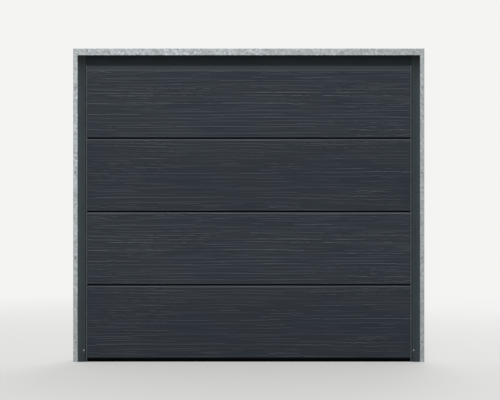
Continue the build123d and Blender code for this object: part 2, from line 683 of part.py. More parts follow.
# Flag brackets tie the curve and the upper track to the jamb, and carry the
# pulley's axle with its head and its spacer.
AXLE_STEPS = (
    (CABLE_X - PULLEY_HALF - AXLE_HEAD_LONG, CABLE_X - PULLEY_HALF, AXLE_HEAD),
    (CABLE_X - PULLEY_HALF, TRACK_OUTER + PLATE, AXLE_RADIUS),
    (CABLE_X + PULLEY_HALF, TRACK_OUTER, SPACER_RADIUS),
)
with BuildPart() as flag_brackets:
    with BuildSketch(side_plane(TRACK_OUTER)):
        with BuildLine():
            plate_edge = Polyline((FLAG_FRONT, FLAG_TOP), (FLAG_REAR, FLAG_TOP),
                                  (FLAG_REAR, CURVE_Z + FLAG_ARC), (CURVE_Y, CURVE_Z + FLAG_ARC))
            neck_rise = sqrt(FLAG_ARC ** 2 - (CURVE_Y - FLAG_NECK) ** 2)
            inner = RadiusArc(plate_edge @ 1, (FLAG_NECK, CURVE_Z + neck_rise), -FLAG_ARC)
            Polyline(inner @ 1, (FLAG_NECK, FLAG_LOW), (FLAG_FRONT, FLAG_LOW), (FLAG_FRONT, FLAG_TOP))
        make_face()
    extrude(amount=PLATE)
    with BuildSketch(plan_plane(FLAG_LOW)):
        with Locations((TRACK_OUTER + PLATE, JAMB_DEPTH)):
            Rectangle(BRACKET_OUTER - TRACK_OUTER - PLATE, PLATE, align=(Align.MIN, Align.MIN))
    extrude(amount=FLAG_TOP - FLAG_LOW)
    for start, end, radius in AXLE_STEPS:
        turned(start, end, PULLEY, radius, sides=SMALL_SIDES)
    mirror(about=MIDDLE)
keep(flag_brackets, "flag_brackets")

# Splice plates tie the two level tracks of a side together.
with BuildPart() as track_splice_plates:
    with BuildSketch(side_plane(TRACK_OUTER)) as splices:
        with Locations([(y, (LOW_TRACK_Z + HIGH_TRACK_Z) / 2) for y in SPLICE_PLACES]):
            Rectangle(SPLICE_WIDTH, HIGH_TRACK_Z - LOW_TRACK_Z + 2 * SPLICE_REACH)
        chamfer(splices.vertices(), SPLICE_CUT)
    extrude(amount=PLATE)
    mirror(about=MIDDLE)
keep(track_splice_plates, "track_splice_plates")

# Rear cross rail: keeps the two sides apart and carries the middle bearing.
with BuildPart() as rear_cross_rail:
    with BuildSketch(side_plane(-TRACK_OUTER)):
        folded([(RAIL_FRONT, RAIL_LOW), (RAIL_BACK, RAIL_LOW), (RAIL_BACK, RAIL_HIGH),
                (RAIL_FRONT, RAIL_HIGH)], STEEL)
    extrude(amount=2 * TRACK_OUTER)
keep(rear_cross_rail, "rear_cross_rail")

# Hangers: angles from the tracks up to plates on the ceiling.
HANGER_LOW = LOW_TRACK_Z - TRACK_HALF
with BuildPart() as ceiling_hangers:
    for y in HANGER_YS:
        with BuildSketch(plan_plane(HANGER_LOW)):
            folded([(TRACK_OUTER, y + HANGER_HALF), (TRACK_OUTER, y - HANGER_HALF),
                    (HANGER_OUTER, y - HANGER_HALF)], PLATE)
        extrude(amount=CEILING_Z - PLATE - HANGER_LOW)
        with BuildSketch(plan_plane(CEILING_Z - PLATE)):
            with Locations((FOOT_PLATE_X, y)):
                Rectangle(*FOOT_PLATE)
                Circle(CEILING_HOLE, mode=Mode.SUBTRACT)
        extrude(amount=PLATE)
    mirror(about=MIDDLE)
keep(ceiling_hangers, "ceiling_hangers")

# Bearing plates: they end the tracks and carry the torsion shaft.
with BuildPart() as bearing_plates:
    with BuildSketch(side_plane(TRACK_OUTER)):
        Polygon((BEARING_FRONT, BEARING_LOW), (TRACK_END, BEARING_LOW),
                (BEARING_REAR, SHAFT_Z - DRUM_LAY), (BEARING_REAR, SHAFT_Z + DRUM_LAY),
                (BEARING_FRONT, RAIL_HIGH), align=None)
        with Locations(SHAFT):
            RegularPolygon(SHAFT_RADIUS + RUNNING, SMALL_SIDES, major_radius=False, mode=Mode.SUBTRACT)
    extrude(amount=PLATE)
    turned(TRACK_OUTER - BOSS_LONG, TRACK_OUTER, SHAFT, BEARING_BOSS, SHAFT_RADIUS)
    mirror(about=MIDDLE)
keep(bearing_plates, "bearing_plates")

with BuildPart() as centre_bearing_bracket:
    arm = SHAFT_Y + CENTRE_ARM - RAIL_BACK
    with BuildSketch(side_plane(-PLATE / 2)):
        with Locations((RAIL_BACK, (RAIL_LOW + RAIL_HIGH) / 2)):
            Rectangle(arm, RAIL_HIGH - RAIL_LOW, align=(Align.MIN, Align.CENTER))
        with Locations(SHAFT):
            RegularPolygon(SHAFT_RADIUS + RUNNING, SMALL_SIDES, major_radius=False, mode=Mode.SUBTRACT)
    extrude(amount=PLATE)
    with BuildSketch(side_plane(-CENTRE_FOOT / 2)):
        with Locations((RAIL_BACK, (RAIL_LOW + RAIL_HIGH) / 2)):
            Rectangle(PLATE, RAIL_HIGH - RAIL_LOW, align=(Align.MIN, Align.CENTER))
    extrude(amount=CENTRE_FOOT)
    turned(-BOSS_LONG, BOSS_LONG, SHAFT, BEARING_BOSS - STEEL, SHAFT_RADIUS)
keep(centre_bearing_bracket, "centre_bearing_bracket")

# Torsion shaft, springs and the cones that anchor and wind them.
with BuildPart() as torsion_shaft:
    with BuildSketch(side_plane(-SHAFT_HALF)):
        with Locations(SHAFT):
            Circle(SHAFT_RADIUS)
    extrude(amount=2 * SHAFT_HALF)
keep(torsion_shaft, "torsion_shaft")

with BuildPart() as torsion_springs:
    with BuildSketch(side_plane(SPRING_START)):
        with Locations(SHAFT):
            RegularPolygon(SPRING_OUTER, TURNED_SIDES)
            RegularPolygon(SPRING_INNER, TURNED_SIDES, mode=Mode.SUBTRACT)
    extrude(amount=SPRING_END - SPRING_START)
    mirror(about=MIDDLE)
keep(torsion_springs, "torsion_springs")


def spring_cone(end, away):
    """A cast cone: a plug in the coil, a flange on its end and a square hub outside."""
    turned(*sorted((end, end - away * CONE_PLUG)), SHAFT, SPRING_INNER - 2 * STEEL, SHAFT_RADIUS,
           SMALL_SIDES)
    turned(*sorted((end, end + away * CONE_FLANGE)), SHAFT, SPRING_OUTER + STEEL, SHAFT_RADIUS)
    hub_start, hub_end = sorted((end + away * CONE_FLANGE, end + away * (CONE_FLANGE + CONE_HUB)))
    with BuildSketch(side_plane(hub_start)) as hub:
        with Locations(SHAFT):
            Rectangle(HUB_SIDE, HUB_SIDE)
            RegularPolygon(SHAFT_RADIUS + RUNNING, SMALL_SIDES, major_radius=False, mode=Mode.SUBTRACT)
    extrude(hub.sketch, amount=hub_end - hub_start)


with BuildPart() as spring_cones:
    spring_cone(SPRING_START, -1)
    spring_cone(SPRING_END, 1)
    mirror(about=MIDDLE)
keep(spring_cones, "spring_cones")


# Cable drums and pulleys: a barrel for the cable between two rims.
def cable_wheel(half, place, lay, rim, bore):
    """A grooved wheel in the plane of the cable."""
    turned(CABLE_X - half, CABLE_X + half, place, lay - CABLE_RADIUS, bore)
    turned(CABLE_X - half, CABLE_X - half + RIM, place, rim, bore)
    turned(CABLE_X + half - RIM, CABLE_X + half, place, rim, bore)


with BuildPart() as cable_drums:
    cable_wheel(DRUM_HALF, SHAFT, DRUM_LAY, DRUM_RIM, SHAFT_RADIUS)
    turned(CABLE_X - DRUM_HALF - DRUM_HUB_LONG, CABLE_X - DRUM_HALF, SHAFT, DRUM_HUB, SHAFT_RADIUS,
           SMALL_SIDES)
    mirror(about=MIDDLE)
keep(cable_drums, "cable_drums")

with BuildPart() as cable_pulleys:
    cable_wheel(PULLEY_HALF, PULLEY, PULLEY_LAY, PULLEY_RIM, AXLE_RADIUS)
    mirror(about=MIDDLE)
keep(cable_pulleys, "cable_pulleys")

# Lift cables: up from the bottom bracket, over the pulley and back to the drum.
CABLE_START = CABLE_FOOT_Z + ANCHOR_STUD
with BuildPart() as lift_cables:
    with BuildLine(side_plane(CABLE_X)):
        rise = Line((CABLE_Y, CABLE_START), (CABLE_Y, PULLEY_Z))
        turn = RadiusArc(rise @ 1, (PULLEY_Y, PULLEY_Z + PULLEY_LAY), PULLEY_LAY)
        run = Line(turn @ 1, (SHAFT_Y, SHAFT_Z + DRUM_LAY))
        RadiusArc(run @ 1, (SHAFT_Y + DRUM_LAY, SHAFT_Z), DRUM_LAY)
    with BuildSketch(track_plane(CABLE_Y, CABLE_START, (0, 0, 1))):
        with Locations((CABLE_X, 0)):
            RegularPolygon(CABLE_RADIUS, CABLE_SIDES, rotation=180 / CABLE_SIDES)
    sweep()
    mirror(about=MIDDLE)
keep(lift_cables, "lift_cables")
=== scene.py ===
# %% [markdown]
# # A sectional garage door, finished in Blender
#
# The construction of the door comes from CAD: four foam-filled sections, a
# steel frame, roller tracks and a spring shaft. This lesson gives each surface
# its finish and adds the small repeated things: screws, bolts, rivets, spring
# coils and cable strands. Every piece stands in the same frame as the CAD
# model, in metres, with X across the door, Y into the garage and Z up.

import json
import math

import bmesh
import bpy
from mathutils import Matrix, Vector


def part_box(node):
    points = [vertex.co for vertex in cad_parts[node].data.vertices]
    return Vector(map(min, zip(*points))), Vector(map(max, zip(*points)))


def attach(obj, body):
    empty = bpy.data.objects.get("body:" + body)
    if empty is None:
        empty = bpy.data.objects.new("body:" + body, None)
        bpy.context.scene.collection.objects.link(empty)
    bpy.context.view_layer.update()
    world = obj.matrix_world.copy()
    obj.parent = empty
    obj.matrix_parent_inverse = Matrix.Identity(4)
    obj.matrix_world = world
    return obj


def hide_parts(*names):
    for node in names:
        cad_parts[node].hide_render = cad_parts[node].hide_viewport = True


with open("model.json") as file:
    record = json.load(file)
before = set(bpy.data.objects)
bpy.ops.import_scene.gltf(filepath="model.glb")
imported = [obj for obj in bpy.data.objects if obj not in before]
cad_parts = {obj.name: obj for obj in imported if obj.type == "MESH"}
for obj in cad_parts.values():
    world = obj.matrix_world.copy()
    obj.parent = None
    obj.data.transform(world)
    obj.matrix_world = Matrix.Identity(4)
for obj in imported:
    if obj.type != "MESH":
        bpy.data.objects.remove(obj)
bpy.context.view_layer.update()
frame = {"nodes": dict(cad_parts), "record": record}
ROOT = "root"
MM = 0.001

# %% [markdown]
# A few sizes are read from the frame once, because most of what follows is
# placed by them: the middle of the door, the face of the leaf and its edges.

# %% Measure the leaf
SECTIONS = 4
leaf_low, leaf_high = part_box("bottom_section")
MIDDLE_X = (leaf_low.x + leaf_high.x) / 2
LEAF_FRONT = leaf_low.y
LEAF_BACK = leaf_high.y
LEAF_BOTTOM = leaf_low.z
FIRST_JOINT = leaf_high.z
LEAF_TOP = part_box("top_section")[1].z
SECTION_PITCH = (LEAF_TOP - LEAF_BOTTOM) / SECTIONS
STILE_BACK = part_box("section_end_stiles")[1].y
print("leaf", round(leaf_high.x - leaf_low.x, 3), "m wide,", round(SECTION_PITCH, 4), "m a section")

# %% [markdown]
# The photograph is taken square to the door, from far enough away that the
# leaf stays a rectangle. A camera could be turned towards the door from one
# side, but then its upright lines would lean together. So it stands in front
# of the door, half-way up, and looks straight along Y, with no shift. Three
# values from the photograph place it: the scale in the plane of the leaf, the
# row where the door meets the floor, and the column of the leaf's middle.

# %% Camera
PHOTO_SIZE = (500, 400)
METRES_PER_PIXEL = 7.67 * MM
FLOOR_ROW = 361.7
LEAF_MIDDLE_COLUMN = 248.8
CAMERA_DISTANCE = 8.5
SENSOR = 36.0
camera_data = bpy.data.cameras.new("photograph_camera")
camera = bpy.data.objects.new("photograph_camera", camera_data)
bpy.context.scene.collection.objects.link(camera)
camera.location = (
    MIDDLE_X + (PHOTO_SIZE[0] / 2 - LEAF_MIDDLE_COLUMN) * METRES_PER_PIXEL,
    LEAF_FRONT - CAMERA_DISTANCE,
    (FLOOR_ROW - PHOTO_SIZE[1] / 2) * METRES_PER_PIXEL,
)
camera.rotation_euler = (math.radians(90), 0, 0)
camera_data.sensor_width = SENSOR
camera_data.lens = SENSOR * CAMERA_DISTANCE / (PHOTO_SIZE[0] * METRES_PER_PIXEL)
bpy.context.scene.camera = camera
print("camera", [round(v, 3) for v in camera.location], "lens", round(camera_data.lens, 1))


# %% [markdown]
# Colours are written as the hex values that a paint chart would give, and one
# function turns them into the linear values that shaders work with. A second
# small function adds a node, with its settings and what goes into its inputs,
# so that each material below reads as a list of what it is made of. A third
# starts a material, because they all begin alike.

# %% Three helpers
def linear(hex_colour):
    """An sRGB hex colour as linear red, green, blue and alpha."""
    channels = [int(hex_colour[i:i + 2], 16) / 255 for i in (0, 2, 4)]
    return [c / 12.92 if c <= 0.04045 else ((c + 0.055) / 1.055) ** 2.4 for c in channels] + [1.0]


def add(tree, kind, inputs=None, **settings):
    """Add a node, set it up, and give each named input a value or a link."""
    node = tree.nodes.new(kind)
    for name, value in settings.items():
        setattr(node, name, value)
    for socket, value in (inputs or {}).items():
        if isinstance(value, bpy.types.NodeSocket):
            tree.links.new(value, node.inputs[socket])
        else:
            node.inputs[socket].default_value = value
    return node


def start_material(name, roughness, metallic=0.0, **constants):
    """A new material: its tree, its shader and the object's own coordinates."""
    material = bpy.data.materials.new(name)
    material.use_nodes = True
    tree = material.node_tree
    tree.nodes.clear()
    shader = add(tree, "ShaderNodeBsdfPrincipled",
                 {"Roughness": roughness, "Metallic": metallic, **constants})
    add(tree, "ShaderNodeOutputMaterial", {"Surface": shader.outputs[0]})
    place = add(tree, "ShaderNodeTexCoord").outputs["Object"]
    return material, tree, shader, place


print("anthracite is", [round(v, 4) for v in linear("383e42")[:3]])

# %% [markdown]
# A studio for a building part is a pale floor that runs on into a pale world.
# A backdrop sheet could curve up behind the door, but it would stand in the way
# of every view from behind. So the floor fades, with distance from the door,
# into the colour that the camera sees in the world. Near the door it keeps the
# shadow, and a share of that colour makes it paler. The world lights the door
# less than it shows, which keeps a colour about as bright as it is written.
# Reflections show what the camera sees.

# %% Floor and world
FLOOR_HALF = 30.0
FLOOR_COLOUR = "eeeeec"
WORLD_LIGHT = 0.58
WORLD_SEEN = "f4f4f2"
FADE_MIDDLE = (MIDDLE_X, 1.0, 0.0)
FADE_START = 2.2
FADE_END = 6.0
NEAR_GLOW = 0.35


def seen_directly(tree):
    """1 for rays from the camera, in a reflection or through glass, 0 for diffuse light."""
    rays = add(tree, "ShaderNodeLightPath")
    in_picture = add(tree, "ShaderNodeMath", {
        0: rays.outputs["Is Camera Ray"], 1: rays.outputs["Is Glossy Ray"]}, operation="MAXIMUM")
    return add(tree, "ShaderNodeMath", {
        0: in_picture.outputs[0], 1: rays.outputs["Is Transmission Ray"]},
        operation="MAXIMUM").outputs[0]


def studio_floor_paint():
    """Matt white near the door, the world's own colour far from it."""
    material, tree, shader, place = start_material("matt_studio_floor", 0.9)
    shader.inputs["Base Color"].default_value = linear(FLOOR_COLOUR)
    way_out = add(tree, "ShaderNodeVectorMath", {0: place, 1: FADE_MIDDLE}, operation="DISTANCE")
    far = add(tree, "ShaderNodeMapRange", {
        "Value": way_out.outputs["Value"], "From Min": FADE_START, "From Max": FADE_END,
        "To Min": NEAR_GLOW}, interpolation_type="SMOOTHSTEP")
    faded = add(tree, "ShaderNodeMath", {0: far.outputs[0], 1: seen_directly(tree)},
                operation="MULTIPLY")
    glow = add(tree, "ShaderNodeEmission", {"Color": linear(WORLD_SEEN)})
    mixed = add(tree, "ShaderNodeMixShader", {
        0: faded.outputs[0], 1: shader.outputs[0], 2: glow.outputs[0]})
    output = [node for node in tree.nodes if node.bl_idname == "ShaderNodeOutputMaterial"][0]
    tree.links.new(mixed.outputs[0], output.inputs["Surface"])
    return material


floor_corners = [(MIDDLE_X + x, y, 0) for x, y in (
    (-FLOOR_HALF, -FLOOR_HALF), (FLOOR_HALF, -FLOOR_HALF),
    (FLOOR_HALF, FLOOR_HALF), (-FLOOR_HALF, FLOOR_HALF))]
floor_mesh = bpy.data.meshes.new("studio_floor")
floor_mesh.from_pydata(floor_corners, [], [(0, 1, 2, 3)])
floor = bpy.data.objects.new("studio_floor", floor_mesh)
bpy.context.scene.collection.objects.link(floor)
floor_mesh.materials.append(studio_floor_paint())

world = bpy.data.worlds.new("studio_world")
bpy.context.scene.world = world
world.use_nodes = True
sky = world.node_tree
sky.nodes.clear()
lit = add(sky, "ShaderNodeBackground", {"Color": linear("ffffff"), "Strength": WORLD_LIGHT})
seen = add(sky, "ShaderNodeBackground", {"Color": linear(WORLD_SEEN), "Strength": 1.0})
either = add(sky, "ShaderNodeMixShader", {
    0: seen_directly(sky), 1: lit.outputs[0], 2: seen.outputs[0]})
add(sky, "ShaderNodeOutputWorld", {"Surface": either.outputs[0]})
bpy.context.scene.view_settings.view_transform = "Standard"
print("world light", WORLD_LIGHT, "floor fades from", FADE_START, "to", FADE_END, "m")


# %% [markdown]
# Daylight reaches such a door softly, from much of the sky. One broad lamp
# does the same. It stands far in front of the door and not much above it, so
# that the leaf is lit evenly from top to bottom. A weaker lamp behind the door
# lights the fittings there for the views from inside.

# %% Lamps
DOOR_MIDDLE = (MIDDLE_X, LEAF_FRONT, 1.1)
SKY_LAMP_PLACE = (MIDDLE_X - 2.0, -14.0, 4.4)
GARAGE_LAMP_PLACE = (MIDDLE_X + 1.5, 6.0, 5.0)


def area_lamp(name, place, size, watts):
    """A soft square lamp that points at the middle of the door."""
    data = bpy.data.lights.new(name, "AREA")
    data.shape = "SQUARE"
    data.size = size
    data.energy = watts
    lamp = bpy.data.objects.new(name, data)
    lamp.location = place
    way = Vector(DOOR_MIDDLE) - Vector(place)
    lamp.rotation_euler = way.to_track_quat("-Z", "Y").to_euler()
    bpy.context.scene.collection.objects.link(lamp)


area_lamp("sky_lamp", SKY_LAMP_PLACE, size=8.5, watts=665)
area_lamp("garage_lamp", GARAGE_LAMP_PLACE, size=5.0, watts=170)
print("lamps at", SKY_LAMP_PLACE, "and", GARAGE_LAMP_PLACE)

# %% [markdown]
# ## The leaf's outer skin
#
# The outer skin is steel sheet, rolled between embossing rollers that press a
# wood grain into it, and coated in matt anthracite. The relief is about 0.4 mm
# deep. It shows as long thin lines, each with a light crest and a dark groove
# under it, as shorter strokes in groups, and as a few knots where the lines
# wander. The relief is a bump. The crest's light and the groove's dark are also
# painted into the colour, as a painted highlight and a painted shade, the way
# light from above falls on it. Level lines of a stretched noise give rings and
# loops, which suit sawn timber. This grain is nearly straight, so it is laid
# out as rows: every row of the board has one line, with its own height in the
# row, its own strength and its own breaks. The roller's print repeats after two
# sections, so heights go through a modulo, and the upper section of each pair
# is a little lighter and fuller than the lower one.
#
# The real lines are one to two millimetres wide, too fine for this distance,
# so they are drawn about 7 mm wide, as the photograph shows them.

# %% Stops of a colour ramp
def set_stops(ramp, stops):
    """Give a colour ramp its stops: a grey level or a colour at each place."""
    elements = ramp.color_ramp.elements
    while len(elements) < len(stops):
        elements.new(1.0)
    for element, (position, value) in zip(elements, stops):
        element.position = position
        element.color = value if isinstance(value, list) else (value, value, value, 1)


# %% Rows of grain
FLAT = 0.5
LINE_WINDOW = 26 * MM
LINE_PROFILE = ((0.0, FLAT), (0.2, FLAT), (0.35, 0.14), (0.5, 1.0), (0.62, FLAT))
# Where in its row a line may lie, how strong it may be, and how its breaks vary.
LINE_PLACES = (0.4, 0.72)
LINE_STRENGTHS = (0.4, 1.0)
LANE_STEP = 5.37
BREAK_SPREAD = (-0.12, 0.08)
BREAK_FADE = 0.09


def grain_rows(tree, along, height, spacing, run, broken, seed):
    """Relief of one line in every row: spacing apart, run long, broken from 0 to 1."""
    level = add(tree, "ShaderNodeMath", {0: height, 1: 1 / spacing, 2: seed},
                operation="MULTIPLY_ADD")
    row = add(tree, "ShaderNodeMath", {0: level.outputs[0]}, operation="FLOOR")
    inside = add(tree, "ShaderNodeMath", {0: level.outputs[0]}, operation="FRACT")
    chance = add(tree, "ShaderNodeTexWhiteNoise", {"W": row.outputs[0]}, noise_dimensions="1D")
    chances = add(tree, "ShaderNodeSeparateColor", {0: chance.outputs["Color"]})
    middle = add(tree, "ShaderNodeMapRange", {
        "Value": chances.outputs[0], "To Min": LINE_PLACES[0], "To Max": LINE_PLACES[1]})
    off_line = add(tree, "ShaderNodeMath", {0: inside.outputs[0], 1: middle.outputs[0]},
                   operation="SUBTRACT")
    in_window = add(tree, "ShaderNodeMath", {
        0: off_line.outputs[0], 1: spacing / LINE_WINDOW, 2: 0.5}, operation="MULTIPLY_ADD")
    profile = add(tree, "ShaderNodeValToRGB", {0: in_window.outputs[0]})
    profile.color_ramp.interpolation = "EASE"
    set_stops(profile, LINE_PROFILE)
    relief = add(tree, "ShaderNodeMath", {0: profile.outputs[0], 1: FLAT}, operation="SUBTRACT")

    # Every row has a lane of its own in the noise, so that neighbours don't
    # break in the same places.
    travel = add(tree, "ShaderNodeMath", {0: along, 1: 1 / run}, operation="MULTIPLY")
    lane = add(tree, "ShaderNodeMath", {0: row.outputs[0], 1: LANE_STEP}, operation="MULTIPLY")
    spot = add(tree, "ShaderNodeCombineXYZ", {0: travel.outputs[0], 1: lane.outputs[0]})
    breaks = add(tree, "ShaderNodeTexNoise", {
        "Vector": spot.outputs[0], "Scale": 1.0, "Detail": 2.5, "Roughness": 0.55},
        noise_dimensions="2D")
    threshold = add(tree, "ShaderNodeMapRange", {
        "Value": chances.outputs[1],
        "To Min": broken + BREAK_SPREAD[0], "To Max": broken + BREAK_SPREAD[1]})
    full_at = add(tree, "ShaderNodeMath", {0: threshold.outputs[0], 1: BREAK_FADE},
                  operation="ADD")
    shown = add(tree, "ShaderNodeMapRange", {
        "Value": breaks.outputs["Fac"], "From Min": threshold.outputs[0],
        "From Max": full_at.outputs[0]}, interpolation_type="SMOOTHSTEP")
    strength = add(tree, "ShaderNodeMapRange", {
        "Value": chances.outputs[2], "To Min": LINE_STRENGTHS[0], "To Max": LINE_STRENGTHS[1]})
    weight = add(tree, "ShaderNodeMath", {0: shown.outputs[0], 1: strength.outputs[0]},
                 operation="MULTIPLY")
    return add(tree, "ShaderNodeMath", {0: relief.outputs[0], 1: weight.outputs[0]},
               operation="MULTIPLY").outputs[0]


print("a line's window is", LINE_WINDOW, "m high")

# %% [markdown]
# The coat puts three kinds of row together: long lines, middling ones, and
# short strokes that show only in groups. One grey value carries the relief.
# Half is the flat skin, more is a crest and less is a groove. The rolled edges
# at the joints and the plain rail along the top go into the same value. The
# value drives the bump, and it also mixes the colour: towards a painted
# highlight above half, and towards a painted shade below it. The inner skin is
# pale coated steel with a fine stucco relief, so everything behind the middle
# of the leaf's thickness gets that instead.

# %% Wood-grain coat
GRAIN_REPEAT = 2 * SECTION_PITCH
GRAIN_DEPTH = 0.35 * MM
SKIN_COLOURS = ("2a3039", "2d333a")
CREST_PAINTED_HIGHLIGHT = "6a7076"
GROOVE_PAINTED_SHADE = "171b20"
INNER_SKIN_COLOUR = "cfd1d0"
INNER_LIGHTNESS = (0.9, 1.06)
STUCCO_PER_METRE = 160.0
DRIFT = 16 * MM
KNOT_BEND = 20 * MM
KNOT_NOISE = (0.58, 0.74)
GROUP_NOISE = (0.5, 0.62)
PATCH_NOISE = (0.4, 0.65)
STREAK = 0.1
PAIR_FULLNESS = (0.49, 0.62)
PAIR_TONE = (0.48, 0.51)
# Along a section's height: painted shade in the joint gaps, a painted highlight on each shoulder
# beside them.
JOINT_PAINTED_SHADE_AND_HIGHLIGHT = ((0.0, 0.0), (0.0155, 0.0), (0.0175, 0.66), (0.026, FLAT),
              (0.966, FLAT), (0.973, 0.73), (0.985, 0.73), (0.989, 0.0))
TOP_BAND = 60 * MM
TOP_GRAIN = ((0.1, 1.0), (0.22, 0.0))
TOP_LINE = ((0.0, 0.0), (0.14, 0.0), (0.25, 0.12), (0.34, 0.12), (0.45, 0.04))


def wood_grain_coat():
    """Coated embossed steel outside, white-grey stucco steel inside."""
    material, tree, shader, place = start_material(
        "wood_grain_embossed_coated_steel", 0.6, **{"Specular IOR Level": 0.12})
    axes = add(tree, "ShaderNodeSeparateXYZ", {0: place})
    height = add(tree, "ShaderNodeMath", {0: axes.outputs["Z"], 1: LEAF_BOTTOM},
                 operation="SUBTRACT")
    wrapped = add(tree, "ShaderNodeMath", {0: height.outputs[0], 1: GRAIN_REPEAT},
                  operation="FLOORED_MODULO")
    in_section = add(tree, "ShaderNodeMath", {0: height.outputs[0], 1: SECTION_PITCH},
                     operation="FLOORED_MODULO")
    is_upper = add(tree, "ShaderNodeMath", {0: wrapped.outputs[0], 1: SECTION_PITCH},
                   operation="GREATER_THAN")

    def board_noise(along, across, detail, seed):
        """Noise in board coordinates: slow along the board, fast across it."""
        x = add(tree, "ShaderNodeMath", {0: axes.outputs["X"], 1: along, 2: seed},
                operation="MULTIPLY_ADD")
        z = add(tree, "ShaderNodeMath", {0: wrapped.outputs[0], 1: across}, operation="MULTIPLY")
        spot = add(tree, "ShaderNodeCombineXYZ", {0: x.outputs[0], 1: z.outputs[0]})
        return add(tree, "ShaderNodeTexNoise", {
            "Vector": spot.outputs[0], "Scale": 1.0, "Detail": detail},
            noise_dimensions="2D").outputs["Fac"]

    # The lines drift a few millimetres, and wander by more round a knot.
    drift = add(tree, "ShaderNodeMapRange", {
        "Value": board_noise(along=0.9, across=5.0, detail=1.0, seed=3.1),
        "To Min": -DRIFT, "To Max": DRIFT})
    knot_zone = add(tree, "ShaderNodeMapRange", {
        "Value": board_noise(along=1.3, across=6.0, detail=0.0, seed=12.4),
        "From Min": KNOT_NOISE[0], "From Max": KNOT_NOISE[1], "To Max": KNOT_BEND},
        interpolation_type="SMOOTHSTEP")
    knot_turn = add(tree, "ShaderNodeMath", {
        0: board_noise(along=13.0, across=26.0, detail=1.0, seed=7.7), 1: 0.5},
        operation="SUBTRACT")
    knot = add(tree, "ShaderNodeMath", {0: knot_zone.outputs[0], 1: knot_turn.outputs[0]},
               operation="MULTIPLY")
    wave = add(tree, "ShaderNodeMath", {0: drift.outputs[0], 1: knot.outputs[0]}, operation="ADD")
    bent = add(tree, "ShaderNodeMath", {0: wrapped.outputs[0], 1: wave.outputs[0]},
               operation="ADD")

    along, level = axes.outputs["X"], bent.outputs[0]
    long_lines = grain_rows(tree, along, level, 28 * MM, run=0.95, broken=0.46, seed=20.0)
    mid_lines = grain_rows(tree, along, level, 22 * MM, run=0.33, broken=0.51, seed=70.0)
    strokes = grain_rows(tree, along, level, 18 * MM, run=0.09, broken=0.5, seed=140.0)
    stroke_zone = add(tree, "ShaderNodeMapRange", {
        "Value": board_noise(along=1.1, across=7.0, detail=1.0, seed=31.0),
        "From Min": GROUP_NOISE[0], "From Max": GROUP_NOISE[1]})
    grouped = add(tree, "ShaderNodeMath", {0: strokes, 1: stroke_zone.outputs[0]},
                  operation="MULTIPLY")
    streaks = add(tree, "ShaderNodeMapRange", {
        "Value": board_noise(along=1.7, across=95.0, detail=2.0, seed=50.0),
        "To Min": -STREAK, "To Max": STREAK})
    lines = add(tree, "ShaderNodeMath", {0: long_lines, 1: mid_lines}, operation="ADD")
    strokes_too = add(tree, "ShaderNodeMath", {0: lines.outputs[0], 1: grouped.outputs[0]},
                      operation="ADD")
    fullness = add(tree, "ShaderNodeMapRange", {
        "Value": is_upper.outputs[0], "To Min": PAIR_FULLNESS[0], "To Max": PAIR_FULLNESS[1]})
    drawn = add(tree, "ShaderNodeMath", {
        0: strokes_too.outputs[0], 1: fullness.outputs[0], 2: streaks.outputs[0]},
        operation="MULTIPLY_ADD")

    # Each section's skin rolls over at its joints. The gap is painted shade, and
    # both shoulders beside it have a painted highlight, stronger on the one that faces up.
    edge_place = add(tree, "ShaderNodeMath", {0: in_section.outputs[0], 1: SECTION_PITCH},
                     operation="DIVIDE")
    joint_painted_light = add(tree, "ShaderNodeValToRGB", {0: edge_place.outputs[0]})
    set_stops(joint_painted_light, JOINT_PAINTED_SHADE_AND_HIGHLIGHT)
    edge = add(tree, "ShaderNodeMath", {0: joint_painted_light.outputs[0], 1: FLAT}, operation="SUBTRACT")
    edged = add(tree, "ShaderNodeMath", {0: drawn.outputs[0], 1: edge.outputs[0]},
                operation="ADD")

    # The top rail of the leaf is plain, over one continuous line.
    under_top = add(tree, "ShaderNodeMapRange", {
        "Value": axes.outputs["Z"], "From Min": LEAF_TOP - TOP_BAND, "From Max": LEAF_TOP})
    grain_share = add(tree, "ShaderNodeValToRGB", {0: under_top.outputs[0]})
    set_stops(grain_share, TOP_GRAIN)
    top_line = add(tree, "ShaderNodeValToRGB", {0: under_top.outputs[0]})
    set_stops(top_line, TOP_LINE)
    toned = add(tree, "ShaderNodeMath", {
        0: edged.outputs[0], 1: grain_share.outputs[0], 2: top_line.outputs[0]},
        operation="MULTIPLY_ADD")
    lighter = add(tree, "ShaderNodeMapRange", {
        "Value": is_upper.outputs[0], "To Min": PAIR_TONE[0], "To Max": PAIR_TONE[1]})
    tone = add(tree, "ShaderNodeMath", {0: toned.outputs[0], 1: lighter.outputs[0]},
               operation="ADD", use_clamp=True)

    patches = add(tree, "ShaderNodeMapRange", {
        "Value": board_noise(along=1.2, across=3.0, detail=2.0, seed=90.0),
        "From Min": PATCH_NOISE[0], "From Max": PATCH_NOISE[1]})
    skin = add(tree, "ShaderNodeMix", {
        "Factor": patches.outputs[0], "A": linear(SKIN_COLOURS[0]), "B": linear(SKIN_COLOURS[1])},
        data_type="RGBA")
    # Painted highlight on the crests and painted shade in the grooves, mixed into the skin's
    # colour.
    above = add(tree, "ShaderNodeMapRange", {"Value": tone.outputs[0], "From Min": FLAT})
    below = add(tree, "ShaderNodeMapRange", {
        "Value": tone.outputs[0], "From Max": FLAT, "To Min": 1.0, "To Max": 0.0})
    crest_highlighted = add(tree, "ShaderNodeMix", {
        "Factor": above.outputs[0], "A": skin.outputs["Result"], "B": linear(CREST_PAINTED_HIGHLIGHT)},
        data_type="RGBA")
    coat = add(tree, "ShaderNodeMix", {
        "Factor": below.outputs[0], "A": crest_highlighted.outputs["Result"], "B": linear(GROOVE_PAINTED_SHADE)},
        data_type="RGBA")

